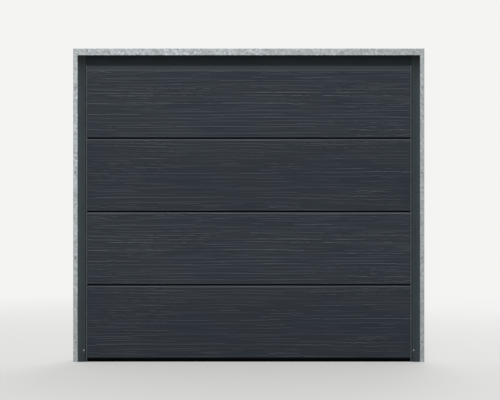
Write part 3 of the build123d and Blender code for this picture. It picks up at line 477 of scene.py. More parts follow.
    # The inner skin: stucco, behind the middle of the leaf's thickness.
    stucco = add(tree, "ShaderNodeTexNoise", {
        "Vector": place, "Scale": STUCCO_PER_METRE, "Detail": 2.0})
    inner_tone = add(tree, "ShaderNodeMapRange", {
        "Value": stucco.outputs["Fac"], "From Min": 0.3, "From Max": 0.7,
        "To Min": INNER_LIGHTNESS[0], "To Max": INNER_LIGHTNESS[1]})
    inner = add(tree, "ShaderNodeVectorMath", {
        0: linear(INNER_SKIN_COLOUR)[:3], "Scale": inner_tone.outputs[0]}, operation="SCALE")
    is_inner = add(tree, "ShaderNodeMath", {
        0: axes.outputs["Y"], 1: (LEAF_FRONT + LEAF_BACK) / 2}, operation="GREATER_THAN")
    colour = add(tree, "ShaderNodeMix", {
        "Factor": is_inner.outputs[0], "A": coat.outputs["Result"], "B": inner.outputs[0]},
        data_type="RGBA")
    tree.links.new(colour.outputs["Result"], shader.inputs["Base Color"])

    depth = add(tree, "ShaderNodeMix", {
        "Factor": is_inner.outputs[0], "A": toned.outputs[0], "B": stucco.outputs["Fac"]})
    bump = add(tree, "ShaderNodeBump", {
        "Height": depth.outputs["Result"], "Distance": GRAIN_DEPTH, "Strength": 1.0})
    tree.links.new(bump.outputs[0], shader.inputs["Normal"])
    return material


MATERIALS = {"woodgrain_coat": wood_grain_coat()}
print("outer skin", SKIN_COLOURS, "repeats every", round(GRAIN_REPEAT, 3), "m")


# %% [markdown]
# ## The frame's coat
#
# The strips beside and above the leaf are folded from smooth coated sheet. The
# coat is a shade greener than the leaf. Real coil coating isn't one flat tone:
# it has a very faint cloudiness and rubs a little lighter. One function makes
# the cladding, the moulded feet and the fascia from two colours. The fascia
# shows much darker in the photograph, most of all along its top, and the
# cladding darkens beside it. Both are painted shade: the fascia's coat is dark
# and darkens further towards its top, and the cladding darkens towards its top
# too. The cladding also has a light line on its fold, which is a painted
# highlight, and a darker strip next to that, which is painted shade that eases
# towards its outer edge. These are drawn as grey ramps up the door and out from
# its middle.

# %% Smooth coats
def smooth_coat(name, colour, rubbed_colour, roughness, sheen=0.12, painted_light_ramps=()):
    """Coil-coated sheet: two close tones in slow clouds, and a fine texture.

    A painted light ramp is a way ("up", or "out" from the door's middle), its ends and its stops.
    It multiplies the colour to paint shade or a highlight.
    """
    material, tree, shader, place = start_material(
        name, roughness, **{"Specular IOR Level": sheen})
    clouds = add(tree, "ShaderNodeTexNoise", {"Vector": place, "Scale": 3.5, "Detail": 4.0})
    tone = add(tree, "ShaderNodeValToRGB", {0: clouds.outputs["Fac"]})
    set_stops(tone, ((0.35, linear(colour)), (0.7, linear(rubbed_colour))))
    coat = tone.outputs[0]
    axes = add(tree, "ShaderNodeSeparateXYZ", {0: place})
    across = add(tree, "ShaderNodeMath", {0: axes.outputs["X"], 1: MIDDLE_X},
                 operation="SUBTRACT")
    out = add(tree, "ShaderNodeMath", {0: across.outputs[0]}, operation="ABSOLUTE")
    ways = {"up": axes.outputs["Z"], "out": out.outputs[0]}
    for way, low, high, stops in painted_light_ramps:
        share = add(tree, "ShaderNodeMapRange", {
            "Value": ways[way], "From Min": low, "From Max": high})
        lightness = add(tree, "ShaderNodeValToRGB", {0: share.outputs[0]})
        set_stops(lightness, stops)
        shaded = add(tree, "ShaderNodeVectorMath", {0: coat, 1: lightness.outputs[0]},
                     operation="MULTIPLY")
        coat = shaded.outputs[0]
    tree.links.new(coat, shader.inputs["Base Color"])
    grain = add(tree, "ShaderNodeTexNoise", {"Vector": place, "Scale": 900.0, "Detail": 1.0})
    bump = add(tree, "ShaderNodeBump", {"Height": grain.outputs["Fac"], "Distance": 0.03 * MM})
    tree.links.new(bump.outputs[0], shader.inputs["Normal"])
    return material


fascia_low, fascia_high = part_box("lintel_fascia")
fold = fascia_high.x - MIDDLE_X
outer_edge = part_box("jamb_cladding")[1].x - MIDDLE_X
SHADE_HEIGHT = 193 * MM
# Painted shade darkens the cladding towards its top. Out from the middle, a painted highlight lies
# on the fold, then painted shade that eases towards the outer edge.
CLADDING_PAINTED_LIGHT = (
    ("up", LEAF_TOP - SHADE_HEIGHT, fascia_high.z,
     ((0.0, 1.0), (0.5, 0.78), (0.68, 0.55), (0.85, 0.2), (0.95, 0.03))),
    ("out", fold, outer_edge, ((0.09, 1.0), (0.13, 0.6), (0.3, 0.62), (0.6, 0.73), (0.95, 0.81))))
# Painted shade: the fascia darkens to a fifth of its colour towards its top.
FASCIA_PAINTED_SHADE = (("up", fascia_low.z, fascia_high.z, ((0.0, 1.0), (1.0, 0.2))),)
MATERIALS["anthracite_coat"] = smooth_coat(
    "coil_coated_anthracite_steel", "3a454a", "404c50", roughness=0.5, painted_light_ramps=CLADDING_PAINTED_LIGHT)
# The fascia's dark coat is itself painted shade.
MATERIALS["smooth_fascia_coat"] = smooth_coat(
    "fascia_steel_in_painted_shade", "1b2124", "20272a", roughness=0.6, sheen=0.05,
    painted_light_ramps=FASCIA_PAINTED_SHADE)
MATERIALS["moulded_foot"] = smooth_coat(
    "moulded_polypropylene_foot", "32393c", "394144", roughness=0.6)
print("coats", sorted(MATERIALS))


# %% [markdown]
# ## Galvanised steel
#
# Hot-dip galvanised sheet shows spangles, flat zinc crystals that each reflect
# a little differently. Voronoi cells make them: a random grey for each cell,
# and a small step in roughness. Real spangles are 3 to 8 mm across. They are
# drawn at 8 to 14 mm here, the largest on the broad frame, so that they still
# show from a few metres away. They have little contrast, because aged zinc
# dulls to an even grey.

# %% Galvanised sheet
FRAME_SPANGLE = 14 * MM
TRACK_SPANGLE = 8 * MM
FITTING_SPANGLE = 10 * MM
# A cell's grey and the clouds add up to this where the zinc is palest.
PALEST_SUM = 1.6
ROUGHNESS_STEP = 0.08


def galvanised(name, dark, pale, roughness, spangle):
    """Zinc coated steel with spangles of a given size."""
    material, tree, shader, place = start_material(name, roughness, metallic=1.0)
    cells = add(tree, "ShaderNodeTexVoronoi", {"Vector": place, "Scale": 1 / spangle})
    grey = add(tree, "ShaderNodeSeparateColor", {0: cells.outputs["Color"]})
    clouds = add(tree, "ShaderNodeTexNoise", {"Vector": place, "Scale": 6.0, "Detail": 3.0})
    both = add(tree, "ShaderNodeMath", {0: grey.outputs[0], 1: clouds.outputs["Fac"]},
               operation="ADD")
    share = add(tree, "ShaderNodeMapRange", {"Value": both.outputs[0], "From Max": PALEST_SUM})
    tone = add(tree, "ShaderNodeValToRGB", {0: share.outputs[0]})
    set_stops(tone, ((0.45, linear(dark)), (1.0, linear(pale))))
    tree.links.new(tone.outputs[0], shader.inputs["Base Color"])
    rough = add(tree, "ShaderNodeMapRange", {
        "Value": grey.outputs[1],
        "To Min": roughness - ROUGHNESS_STEP, "To Max": roughness + ROUGHNESS_STEP})
    tree.links.new(rough.outputs[0], shader.inputs["Roughness"])
    return material


MATERIALS["galvanised_frame"] = galvanised(
    "hot_dip_galvanised_frame_steel", "8f9496", "a4a9ab", 0.55, FRAME_SPANGLE)
MATERIALS["galvanised_track"] = galvanised(
    "galvanised_track_strip", "9a9fa1", "b9bdbf", 0.45, TRACK_SPANGLE)
MATERIALS["galvanised_fittings"] = galvanised(
    "pressed_galvanised_sheet", "9fa4a6", "c2c6c8", 0.42, FITTING_SPANGLE)
print("spangles", FRAME_SPANGLE, TRACK_SPANGLE, FITTING_SPANGLE, "m")


# %% [markdown]
# ## Turned, cast, moulded and rubber pieces
#
# The other finishes are close to each other in how they are made: one tone,
# slow variation in it, and a fine surface texture whose scale says whether it
# was turned, cast or moulded. One function takes those as values. Zinc plate is
# bright and smooth, die-cast aluminium dull and pebbled, mill-finish aluminium
# pale and even, nylon milky, and oil-tempered wire nearly black. Rubber takes
# the least sheen: matt black seals swallow light in the photograph.

# %% Small part finishes
def plain_finish(name, colour, worn_colour, roughness, metallic, sheen, grain_mm, depth_mm):
    """A finish with two tones in clouds and a grain of a given size and depth."""
    material, tree, shader, place = start_material(
        name, roughness, metallic=metallic, **{"Specular IOR Level": sheen})
    clouds = add(tree, "ShaderNodeTexNoise", {"Vector": place, "Scale": 22.0, "Detail": 4.0})
    tone = add(tree, "ShaderNodeValToRGB", {0: clouds.outputs["Fac"]})
    set_stops(tone, ((0.32, linear(colour)), (0.72, linear(worn_colour))))
    tree.links.new(tone.outputs[0], shader.inputs["Base Color"])
    grain = add(tree, "ShaderNodeTexNoise", {
        "Vector": place, "Scale": 1 / (grain_mm * MM), "Detail": 2.0})
    bump = add(tree, "ShaderNodeBump", {"Height": grain.outputs["Fac"], "Distance": depth_mm * MM})
    tree.links.new(bump.outputs[0], shader.inputs["Normal"])
    return material


# Slot: name, colour, worn colour, roughness, metallic, sheen, grain in mm, its depth in mm.
FINISHES = {
    "seal_rubber": ("extruded_epdm_rubber", "020405", "060809", 0.85, 0.0, 0.02, 1.5, 0.05),
    "rail_aluminium": ("mill_finish_aluminium", "a9acae", "bfc2c4", 0.35, 1.0, 0.5, 1.0, 0.02),
    "zinc_plated_steel": (
        "bright_zinc_plated_steel", "b2b6b8", "cfd2d3", 0.28, 1.0, 0.5, 1.2, 0.01),
    "roller_nylon": ("moulded_white_nylon", "d9d6cc", "e6e4dc", 0.4, 0.0, 0.4, 0.8, 0.02),
    "spring_steel": ("oil_tempered_spring_steel", "2a2b2d", "3c3d40", 0.38, 0.85, 0.5, 0.8, 0.02),
    "cast_fittings": ("die_cast_aluminium", "8f9395", "aaaeb0", 0.5, 1.0, 0.5, 2.0, 0.08),
    "pulley_steel": ("turned_zinc_plated_steel", "9da1a3", "babdbf", 0.32, 1.0, 0.5, 0.6, 0.01),
    "cable_steel": ("stranded_galvanised_cable", "8a8d8f", "a6a9aa", 0.4, 1.0, 0.5, 0.5, 0.02),
}
for slot_name, values in FINISHES.items():
    MATERIALS[slot_name] = plain_finish(*values)
print("finishes", sorted(MATERIALS))

# %% [markdown]
# The lip beside the leaf has two tones. A pale bead along the edge that touches
# the skin is a painted highlight. It is the thin light line beside the leaf in
# the photograph. The dark lip beyond it is painted shade. The lip under the
# fascia is dark grey all through, close to the fascia's coat, because no black
# line shows above the leaf.

# %% Side seal lips
BEAD_IN_FROM_END = 13.5 * MM
BEAD_EDGE = leaf_high.x - MIDDLE_X - BEAD_IN_FROM_END
BEAD_PAINTED_HIGHLIGHT = ("4c5358", "575e63")
LIP_PAINTED_SHADE = ("1b2124", "23292c")


def highlighted_shaded_lip():
    """A pale bead up to its edge's distance from the door's middle, a painted highlight, and
    painted shade beyond.
    """
    material, tree, shader, place = start_material(
        "seal_lip_painted_highlight_and_shade", 0.55, **{"Specular IOR Level": 0.15})
    axes = add(tree, "ShaderNodeSeparateXYZ", {0: place})
    across = add(tree, "ShaderNodeMath", {0: axes.outputs["X"], 1: MIDDLE_X},
                 operation="SUBTRACT")
    out = add(tree, "ShaderNodeMath", {0: across.outputs[0]}, operation="ABSOLUTE")
    is_lip = add(tree, "ShaderNodeMath", {0: out.outputs[0], 1: BEAD_EDGE},
                 operation="GREATER_THAN")
    scuffs = add(tree, "ShaderNodeTexNoise", {"Vector": place, "Scale": 30.0, "Detail": 3.0})
    lip_tones = []
    for clean, scuffed in (BEAD_PAINTED_HIGHLIGHT, LIP_PAINTED_SHADE):
        lip_tone = add(tree, "ShaderNodeValToRGB", {0: scuffs.outputs["Fac"]})
        set_stops(lip_tone, ((0.3, linear(clean)), (0.7, linear(scuffed))))
        lip_tones.append(lip_tone.outputs[0])
    colour = add(tree, "ShaderNodeMix", {
        "Factor": is_lip.outputs[0], "A": lip_tones[0], "B": lip_tones[1]}, data_type="RGBA")
    tree.links.new(colour.outputs["Result"], shader.inputs["Base Color"])
    return material


side_lip_painted_light = highlighted_shaded_lip()
top_lip_finish = plain_finish("soft_grey_top_lip", "1d2428", "242b2f", 0.7, 0.0, 0.1, 1.5, 0.05)
print("bead up to", round(BEAD_EDGE, 4), "m from the middle")

# %% [markdown]
# Each CAD node names a material slot in the record. The nodes keep their
# meshes, and only what is in their slots changes. All the seals are rubber, but
# the lip beside the leaf gets its painted highlight and shade, and the lip above
# the leaf a dark grey.

# %% Dress the CAD nodes
for part in frame["record"]["subparts"]:
    node = frame["nodes"][part["node"]]
    node.data.materials.clear()
    node.data.materials.append(MATERIALS[part["material_slot"]])
frame["nodes"]["side_seals"].data.materials[0] = side_lip_painted_light
frame["nodes"]["lintel_seal"].data.materials[0] = top_lip_finish


# %% [markdown]
# ## Finding the solids of a node
#
# Several like pieces share a CAD node, as the hinge leaves and the rollers do.
# To put a screw in each, the script needs the box of each solid. A copy of the
# mesh is merged, split into its connected pieces, and each piece gives its box.

# %% Boxes of the solids in a node
WELD_DISTANCE = 1e-5


def solid_boxes(node_name):
    """(lowest corner, highest corner) of every solid in a CAD node."""
    shape = bmesh.new()
    shape.from_mesh(frame["nodes"][node_name].data)
    bmesh.ops.remove_doubles(shape, verts=shape.verts, dist=WELD_DISTANCE)
    left = set(shape.verts)
    boxes = []
    while left:
        stack = [left.pop()]
        found = []
        while stack:
            vertex = stack.pop()
            found.append(vertex.co.copy())
            for edge in vertex.link_edges:
                other = edge.other_vert(vertex)
                if other in left:
                    left.remove(other)
                    stack.append(other)
        low = Vector(map(min, zip(*found)))
        high = Vector(map(max, zip(*found)))
        boxes.append((low, high))
    shape.free()
    return sorted(boxes, key=lambda box: (
        round(box[0].z, 3), round(box[0].x, 3), round(box[0].y, 3)))


def side_of(low):
    """1 for a solid to the right of the door's middle, -1 for one to the left."""
    return 1 if low.x > MIDDLE_X else -1


print("hinge leaves", len(solid_boxes("hinge_lower_leaves")))


# %% [markdown]
# ## From a node tree to a finished piece
#
# Geometry Nodes make what repeats. The tree works on a carrier object, its
# result is read once from the evaluated object as a plain mesh, and the
# modifier goes. What stays is an ordinary piece at the origin that rides on
# the door's body.

# %% Turning trees into pieces
def new_tree(name, sockets):
    """An empty geometry tree with named inputs: the tree and its input node."""
    group = bpy.data.node_groups.new(name, "GeometryNodeTree")
    group.interface.new_socket("Geometry", in_out="INPUT", socket_type="NodeSocketGeometry")
    for socket_name, kind in sockets.items():
        group.interface.new_socket(socket_name, in_out="INPUT", socket_type=kind)
    group.interface.new_socket("Geometry", in_out="OUTPUT", socket_type="NodeSocketGeometry")
    return group, add(group, "NodeGroupInput")


def end_tree(group, geometry):
    """Close a tree: realize its instances and set their material."""
    inputs = [node for node in group.nodes if node.bl_idname == "NodeGroupInput"][0]
    real = add(group, "GeometryNodeRealizeInstances", {0: geometry})
    painted = add(group, "GeometryNodeSetMaterial", {
        "Geometry": real.outputs[0], "Material": inputs.outputs["Material"]})
    add(group, "NodeGroupOutput", {0: painted.outputs[0]})


def run_tree(name, group, carrier_mesh, values):
    """Run a tree on a carrier mesh and keep the result as a plain piece."""
    carrier = bpy.data.objects.new(name, carrier_mesh)
    bpy.context.scene.collection.objects.link(carrier)
    modifier = carrier.modifiers.new("build", "NODES")
    modifier.node_group = group
    for item in group.interface.items_tree:
        if item.in_out == "INPUT" and item.name in values:
            modifier[item.identifier] = values[item.name]
    evaluated = carrier.evaluated_get(bpy.context.evaluated_depsgraph_get())
    result = bpy.data.meshes.new_from_object(evaluated)
    carrier.modifiers.clear()
    carrier.data = result
    result.name = name
    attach(carrier, ROOT)
    print(name, len(result.polygons), "faces")
    return carrier


def point_mesh(name, places):
    """A mesh of loose points that each carry the direction they face."""
    mesh = bpy.data.meshes.new(name)
    mesh.from_pydata([place for place, facing in places], [], [])
    facing = mesh.attributes.new("facing", "FLOAT_VECTOR", "POINT")
    facing.data.foreach_set("vector", [v for place, way in places for v in way])
    return mesh


# %% [markdown]
# ## Torsion springs
#
# Each spring is closely wound from 5 mm oil-tempered wire, about 120 turns. A
# screw modifier could sweep a circle, but the spiral curve of Geometry Nodes
# says the same thing in the spring maker's words: turns, radius and length.

# %% Spring tree
COIL_WIRE = 2.5 * MM
COIL_STEP = 5.7 * MM
TURN_POINTS = 22
WIRE_SIDES = 7
spring_tree, spring_in = new_tree("closely_wound_spring", {
    "Turns": "NodeSocketFloat", "Radius": "NodeSocketFloat", "Length": "NodeSocketFloat",
    "Wire": "NodeSocketFloat", "Points": "NodeSocketInt", "Start": "NodeSocketVector",
    "Material": "NodeSocketMaterial"})
spiral = add(spring_tree, "GeometryNodeCurveSpiral", {
    "Resolution": spring_in.outputs["Points"], "Rotations": spring_in.outputs["Turns"],
    "Start Radius": spring_in.outputs["Radius"], "End Radius": spring_in.outputs["Radius"],
    "Height": spring_in.outputs["Length"]})
wire = add(spring_tree, "GeometryNodeCurvePrimitiveCircle", {
    "Resolution": WIRE_SIDES, "Radius": spring_in.outputs["Wire"]})
coil = add(spring_tree, "GeometryNodeCurveToMesh", {
    "Curve": spiral.outputs[0], "Profile Curve": wire.outputs[0], "Fill Caps": True})
laid = add(spring_tree, "GeometryNodeTransform", {
    "Geometry": coil.outputs[0], "Translation": spring_in.outputs["Start"],
    "Rotation": (0, math.radians(90), 0)})
soft_coil = add(spring_tree, "GeometryNodeSetShadeSmooth", {0: laid.outputs[0]})
end_tree(spring_tree, soft_coil.outputs[0])
print("spring tree", len(spring_tree.nodes), "nodes")

# %% Two springs
for side, (low, high) in zip(("left", "right"), solid_boxes("torsion_springs")):
    length = high.x - low.x - 2 * COIL_WIRE
    run_tree(
        f"{side}_spring_coils", spring_tree, bpy.data.meshes.new("spring_carrier"),
        {"Turns": length / COIL_STEP, "Radius": (high.z - low.z) / 2 - COIL_WIRE, "Length": length,
         "Wire": COIL_WIRE, "Points": TURN_POINTS,
         "Start": (low.x + COIL_WIRE, (low.y + high.y) / 2, (low.z + high.z) / 2),
         "Material": MATERIALS["spring_steel"]})
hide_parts("torsion_springs")
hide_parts("torsion_springs")

# %% [markdown]
# ## Screws, bolts and rivets
#
# Hinges and brackets are held by hexagon washer screws, tracks by flanged
# bolts. A head is a six-sided drum on a thin washer. The tree instances one
# head on points that know which way they face, and turns each by a fixed
# random angle about its own axis, because no two screws stop at the same
# angle.

# %% Screw tree
# A hexagon's corners stand 0.577 of its width across flats from its middle.
CORNER_SHARE = 0.577
WASHER_SHARE = 0.22
WASHER_SIDES = 14
SIXTH_OF_A_TURN = 1.047
screw_tree, screw_in = new_tree("hexagon_washer_screws", {
    "Across": "NodeSocketFloat", "Height": "NodeSocketFloat", "Washer": "NodeSocketFloat",
    "Seed": "NodeSocketInt", "Material": "NodeSocketMaterial"})
head_radius = add(screw_tree, "ShaderNodeMath", {
    0: screw_in.outputs["Across"], 1: CORNER_SHARE}, operation="MULTIPLY")
head = add(screw_tree, "GeometryNodeMeshCylinder", {
    "Vertices": 6, "Radius": head_radius.outputs[0], "Depth": screw_in.outputs["Height"]})
half_height = add(screw_tree, "ShaderNodeMath", {
    0: screw_in.outputs["Height"], 1: 0.5}, operation="MULTIPLY")
head_lift = add(screw_tree, "ShaderNodeCombineXYZ", {2: half_height.outputs[0]})
raised_head = add(screw_tree, "GeometryNodeTransform", {
    "Geometry": head.outputs[0], "Translation": head_lift.outputs[0]})
washer_height = add(screw_tree, "ShaderNodeMath", {
    0: screw_in.outputs["Height"], 1: WASHER_SHARE}, operation="MULTIPLY")
washer = add(screw_tree, "GeometryNodeMeshCylinder", {
    "Vertices": WASHER_SIDES, "Radius": screw_in.outputs["Washer"],
    "Depth": washer_height.outputs[0]})
whole_screw = add(screw_tree, "GeometryNodeJoinGeometry", {0: raised_head.outputs[0]})
screw_tree.links.new(washer.outputs[0], whole_screw.inputs[0])
facing = add(screw_tree, "GeometryNodeInputNamedAttribute", {"Name": "facing"},
             data_type="FLOAT_VECTOR")
upright = add(screw_tree, "FunctionNodeAlignRotationToVector", {
    "Vector": facing.outputs[0]}, axis="Z")
spin_angle = add(screw_tree, "FunctionNodeRandomValue", {
    "Max": SIXTH_OF_A_TURN, "Seed": screw_in.outputs["Seed"]}, data_type="FLOAT")
spin_socket = [socket for socket in spin_angle.outputs if socket.enabled][0]
spin_vector = add(screw_tree, "ShaderNodeCombineXYZ", {2: spin_socket})
spin = add(screw_tree, "FunctionNodeEulerToRotation", {0: spin_vector.outputs[0]})
turned = add(screw_tree, "FunctionNodeRotateRotation", {
    0: upright.outputs[0], 1: spin.outputs[0]}, rotation_space="LOCAL")
screws_placed = add(screw_tree, "GeometryNodeInstanceOnPoints", {
    "Points": screw_in.outputs[0], "Instance": whole_screw.outputs[0],
    "Rotation": turned.outputs[0]})
end_tree(screw_tree, screws_placed.outputs[0])
print("screw tree", len(screw_tree.nodes), "nodes")

# %% [markdown]
# Where the screws go follows from the solids. Every hinge leaf and bracket has
# four, near the corners of its plate, and all of them face into the garage. A
# hinge's knuckle and a bracket's cheeks are in the way of some corners, so the
# screws sit clear of them.

# %% Screws of the hinges
INWARD = (0, 1, 0)
PLATE = 2.5 * MM
EDGE = 11 * MM
KNUCKLE = 14 * MM


def corner_places(left, right, face_y, low_z, high_z):
    """Four places near the corners of a plate that faces into the garage."""
    return [((x, face_y, z), INWARD) for x in (left, right) for z in (low_z, high_z)]


def screws(name, places, across, height, washer, seed):
    """Plated screw heads at places that each have a facing direction; sizes in millimetres."""
    run_tree(name, screw_tree, point_mesh(name, places), {
        "Across": across * MM, "Height": height * MM, "Washer": washer * MM, "Seed": seed,
        "Material": MATERIALS["zinc_plated_steel"]})


hinge_places = []
for low, high in solid_boxes("hinge_lower_leaves"):
    hinge_places += corner_places(
        low.x + EDGE, high.x - EDGE, low.y + PLATE, low.z + EDGE, high.z - KNUCKLE - 2 * EDGE)
for low, high in solid_boxes("hinge_upper_leaves"):
    hinge_places += corner_places(
        low.x + EDGE, high.x - EDGE, low.y + PLATE, low.z + KNUCKLE + 2 * EDGE, high.z - EDGE)
screws("hinge_screws", hinge_places, across=8, height=5, washer=7.5, seed=4)

# %% Screws of the roller and bottom brackets
BRACKET_WIDTH = 56 * MM
BESIDE_CHEEK = 4 * MM
BRACKET_EDGE = 9 * MM
TOP_CORNER = 100 * MM
bracket_places = []
for node_name in ("roller_brackets", "bottom_brackets"):
    for low, high in solid_boxes(node_name):
        side = side_of(low)
        inner_x = low.x if side > 0 else high.x
        near = inner_x + side * BESIDE_CHEEK
        far = inner_x + side * (BRACKET_WIDTH - BESIDE_CHEEK)
        # Only the brackets at the joints have a knuckle under them.
        at_joint = low.z > FIRST_JOINT and high.z < LEAF_TOP - TOP_CORNER
        low_z = low.z + BRACKET_EDGE + (KNUCKLE if at_joint else 0)
        bracket_places += corner_places(near, far, STILE_BACK + PLATE, low_z, high.z - BRACKET_EDGE)
screws("bracket_screws", bracket_places, across=6, height=4, washer=4, seed=9)

# %% [markdown]
# The one screw that shows in the photograph holds the moulded foot to the
# jamb, about 90 mm above the floor. It is mirrored on the other jamb.

# %% Foot screws
OUTWARD = (0, -1, 0)
FOOT_SCREW_Z = 90 * MM
FOOT_SCREW_IN = 7 * MM
foot_places = []
for low, high in solid_boxes("jamb_cladding"):
    side = side_of(low)
    inner_edge = low.x if side > 0 else high.x
    foot_places.append(((inner_edge + side * FOOT_SCREW_IN, low.y, FOOT_SCREW_Z), OUTWARD))
screws("foot_screws", foot_places, across=5, height=3, washer=4, seed=2)

# %% [markdown]
# The tracks are bolted from inside, so their nuts show on the outer face of each
# bracket, splice plate, flag and hanger. A bracket's other leg is bolted to the
# jamb, facing into the garage, and the middle bearing is bolted to the rear
# cross rail in the same way. The outer face of the track is the same for all of
# them, and each plate on it is 3 mm thick.

# %% Track nuts
TRACK_PLATE = 3 * MM
CURVE_NUT_ANGLES = (20, 45, 70)
TOP_TRACK_NUT_IN = 25 * MM
PLATE_NUT_STEPS = (-12 * MM, 12 * MM)
BEARING_NUT_STEPS = (25 * MM, 65 * MM)
track_outer = {1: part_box("right_vertical_track")[1].x, -1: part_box("left_vertical_track")[0].x}
track_y = sum(corner.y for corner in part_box("right_vertical_track")) / 2
level_z = sum(corner.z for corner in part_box("right_horizontal_track")) / 2
curve_low, curve_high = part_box("right_curved_track")
track_half = curve_high.z - level_z
upper_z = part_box("right_top_roller_track")[1].z - track_half
curve_radius = level_z - curve_low.z
curve_middle = (track_y + curve_radius, curve_low.z)


def outer_nut(side, y, z):
    """A nut on a plate that lies on the track's outer face."""
    return (track_outer[side] + side * TRACK_PLATE, y, z), (side, 0, 0)


nut_places = []
for side in (-1, 1):
    for angle in CURVE_NUT_ANGLES:
        turn = math.radians(angle)
        nut_places.append(outer_nut(side, curve_middle[0] - curve_radius * math.cos(turn),
                                    curve_middle[1] + curve_radius * math.sin(turn)))
    nut_places.append(outer_nut(side, curve_middle[0] + TOP_TRACK_NUT_IN, upper_z))
for low, high in solid_boxes("track_brackets"):
    nut_places.append(outer_nut(side_of(low), track_y, (low.z + high.z) / 2))
for low, high in solid_boxes("track_splice_plates") + solid_boxes("ceiling_hangers"):
    for step in PLATE_NUT_STEPS:
        for z in (level_z, upper_z):
            nut_places.append(outer_nut(side_of(low), (low.y + high.y) / 2 + step, z))
for low, high in solid_boxes("bearing_plates"):
    for step in BEARING_NUT_STEPS:
        for z in (level_z, upper_z):
            nut_places.append(outer_nut(side_of(low), low.y + step, z))
screws("track_nuts", nut_places, across=10, height=6, washer=8.5, seed=12)

# %% Frame bolts
SHORT_BRACKET = 100 * MM
FLAG_BOLT_UP = 40 * MM
FLAG_BOLT_DOWN = 120 * MM
jamb_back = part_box("right_jamb")[1].y
frame_bolt_places = []
for low, high in solid_boxes("track_brackets") + solid_boxes("flag_brackets"):
    side = side_of(low)
    jamb_edge = high.x if side > 0 else low.x
    bolt_x = (jamb_edge + track_outer[side] + side * TRACK_PLATE) / 2
    heights = [low.z + FLAG_BOLT_UP, high.z - FLAG_BOLT_DOWN]
    if high.z - low.z < SHORT_BRACKET:
        heights = [(low.z + high.z) / 2]
    for z in heights:
        frame_bolt_places.append(((bolt_x, jamb_back + TRACK_PLATE, z), INWARD))
bearing_low, bearing_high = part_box("centre_bearing_bracket")
rail_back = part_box("rear_cross_rail")[1].y
frame_bolt_places += corner_places(
    bearing_low.x + EDGE, bearing_high.x - EDGE, rail_back + TRACK_PLATE,
    bearing_low.z + EDGE, bearing_high.z - EDGE)
screws("frame_bolts", frame_bolt_places, across=10, height=6.5, washer=10, seed=21)

# %% [markdown]
# Set screws lock the winding cones on the shaft. Two of them sit in every
# cone's hub, on the top and on the garage side. Their heads are square on such
# a door, and small enough here to share the hexagon tree.

# %% Set screws
HUB_MIDDLE = 24 * MM
HUB_HALF = 21 * MM
shaft_low, shaft_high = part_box("torsion_shaft")
shaft_y, shaft_z = (shaft_low.y + shaft_high.y) / 2, (shaft_low.z + shaft_high.z) / 2
set_places = []
for low, high in solid_boxes("torsion_springs"):
    for x in (low.x - HUB_MIDDLE, high.x + HUB_MIDDLE):
        set_places.append(((x, shaft_y, shaft_z + HUB_HALF), (0, 0, 1)))
        set_places.append(((x, shaft_y + HUB_HALF, shaft_z), INWARD))
screws("set_screws", set_places, across=9, height=9, washer=6, seed=33)

# %% [markdown]
# Pop rivets close the end stiles on the inner skin, clear of the hinges. A rivet
# is a flattened dome, so it has a tree of its own: a small sphere, half of it
# sunk in the sheet.

# %% Rivets
STILE_RIVET_X = 50 * MM
RIVETS_PER_STILE = 4
RIVET_RADIUS = 4.5 * MM
RIVET_FLATNESS = 0.35
rivet_tree, rivet_in = new_tree("flat_dome_rivets", {
    "Radius": "NodeSocketFloat", "Flatness": "NodeSocketFloat", "Material": "NodeSocketMaterial"})
dome = add(rivet_tree, "GeometryNodeMeshUVSphere", {
    "Segments": 10, "Rings": 6, "Radius": rivet_in.outputs["Radius"]})
squash = add(rivet_tree, "ShaderNodeCombineXYZ", {0: 1.0, 1: rivet_in.outputs["Flatness"], 2: 1.0})
flat_dome = add(rivet_tree, "GeometryNodeTransform", {
    "Geometry": dome.outputs[0], "Scale": squash.outputs[0]})
smooth_dome = add(rivet_tree, "GeometryNodeSetShadeSmooth", {0: flat_dome.outputs[0]})
riveted = add(rivet_tree, "GeometryNodeInstanceOnPoints", {
    "Points": rivet_in.outputs[0], "Instance": smooth_dome.outputs[0]})
end_tree(rivet_tree, riveted.outputs[0])

# The rivets divide each section's height evenly, with a step and a half left
# free at its joints.
rivet_places = []
for section in range(SECTIONS):
    for rivet in range(RIVETS_PER_STILE):
        z = LEAF_BOTTOM + SECTION_PITCH * (section + (rivet + 1.5) / (RIVETS_PER_STILE + 2))
        for x in (leaf_low.x + STILE_RIVET_X, leaf_high.x - STILE_RIVET_X):
            rivet_places.append(((x, STILE_BACK, z), INWARD))
run_tree("stile_rivets", rivet_tree, point_mesh("stile_rivets", rivet_places), {
    "Radius": RIVET_RADIUS, "Flatness": RIVET_FLATNESS,
    "Material": MATERIALS["rail_aluminium"]})

# %% [markdown]
# ## Lift cables
#
# A 4 mm cable of six strands runs from an eye on the bottom bracket up beside
# the leaf, over the pulley and back to the drum, where it takes a turn and a
# half. Seven twisted curves would be heavy for five and a half metres of cable.
# One curve swept with a six-lobed profile that turns as it travels shows the
# same twist. The lay, a full turn of the strands, is 28 mm on the real cable
# and 40 mm here, so that it still shows.

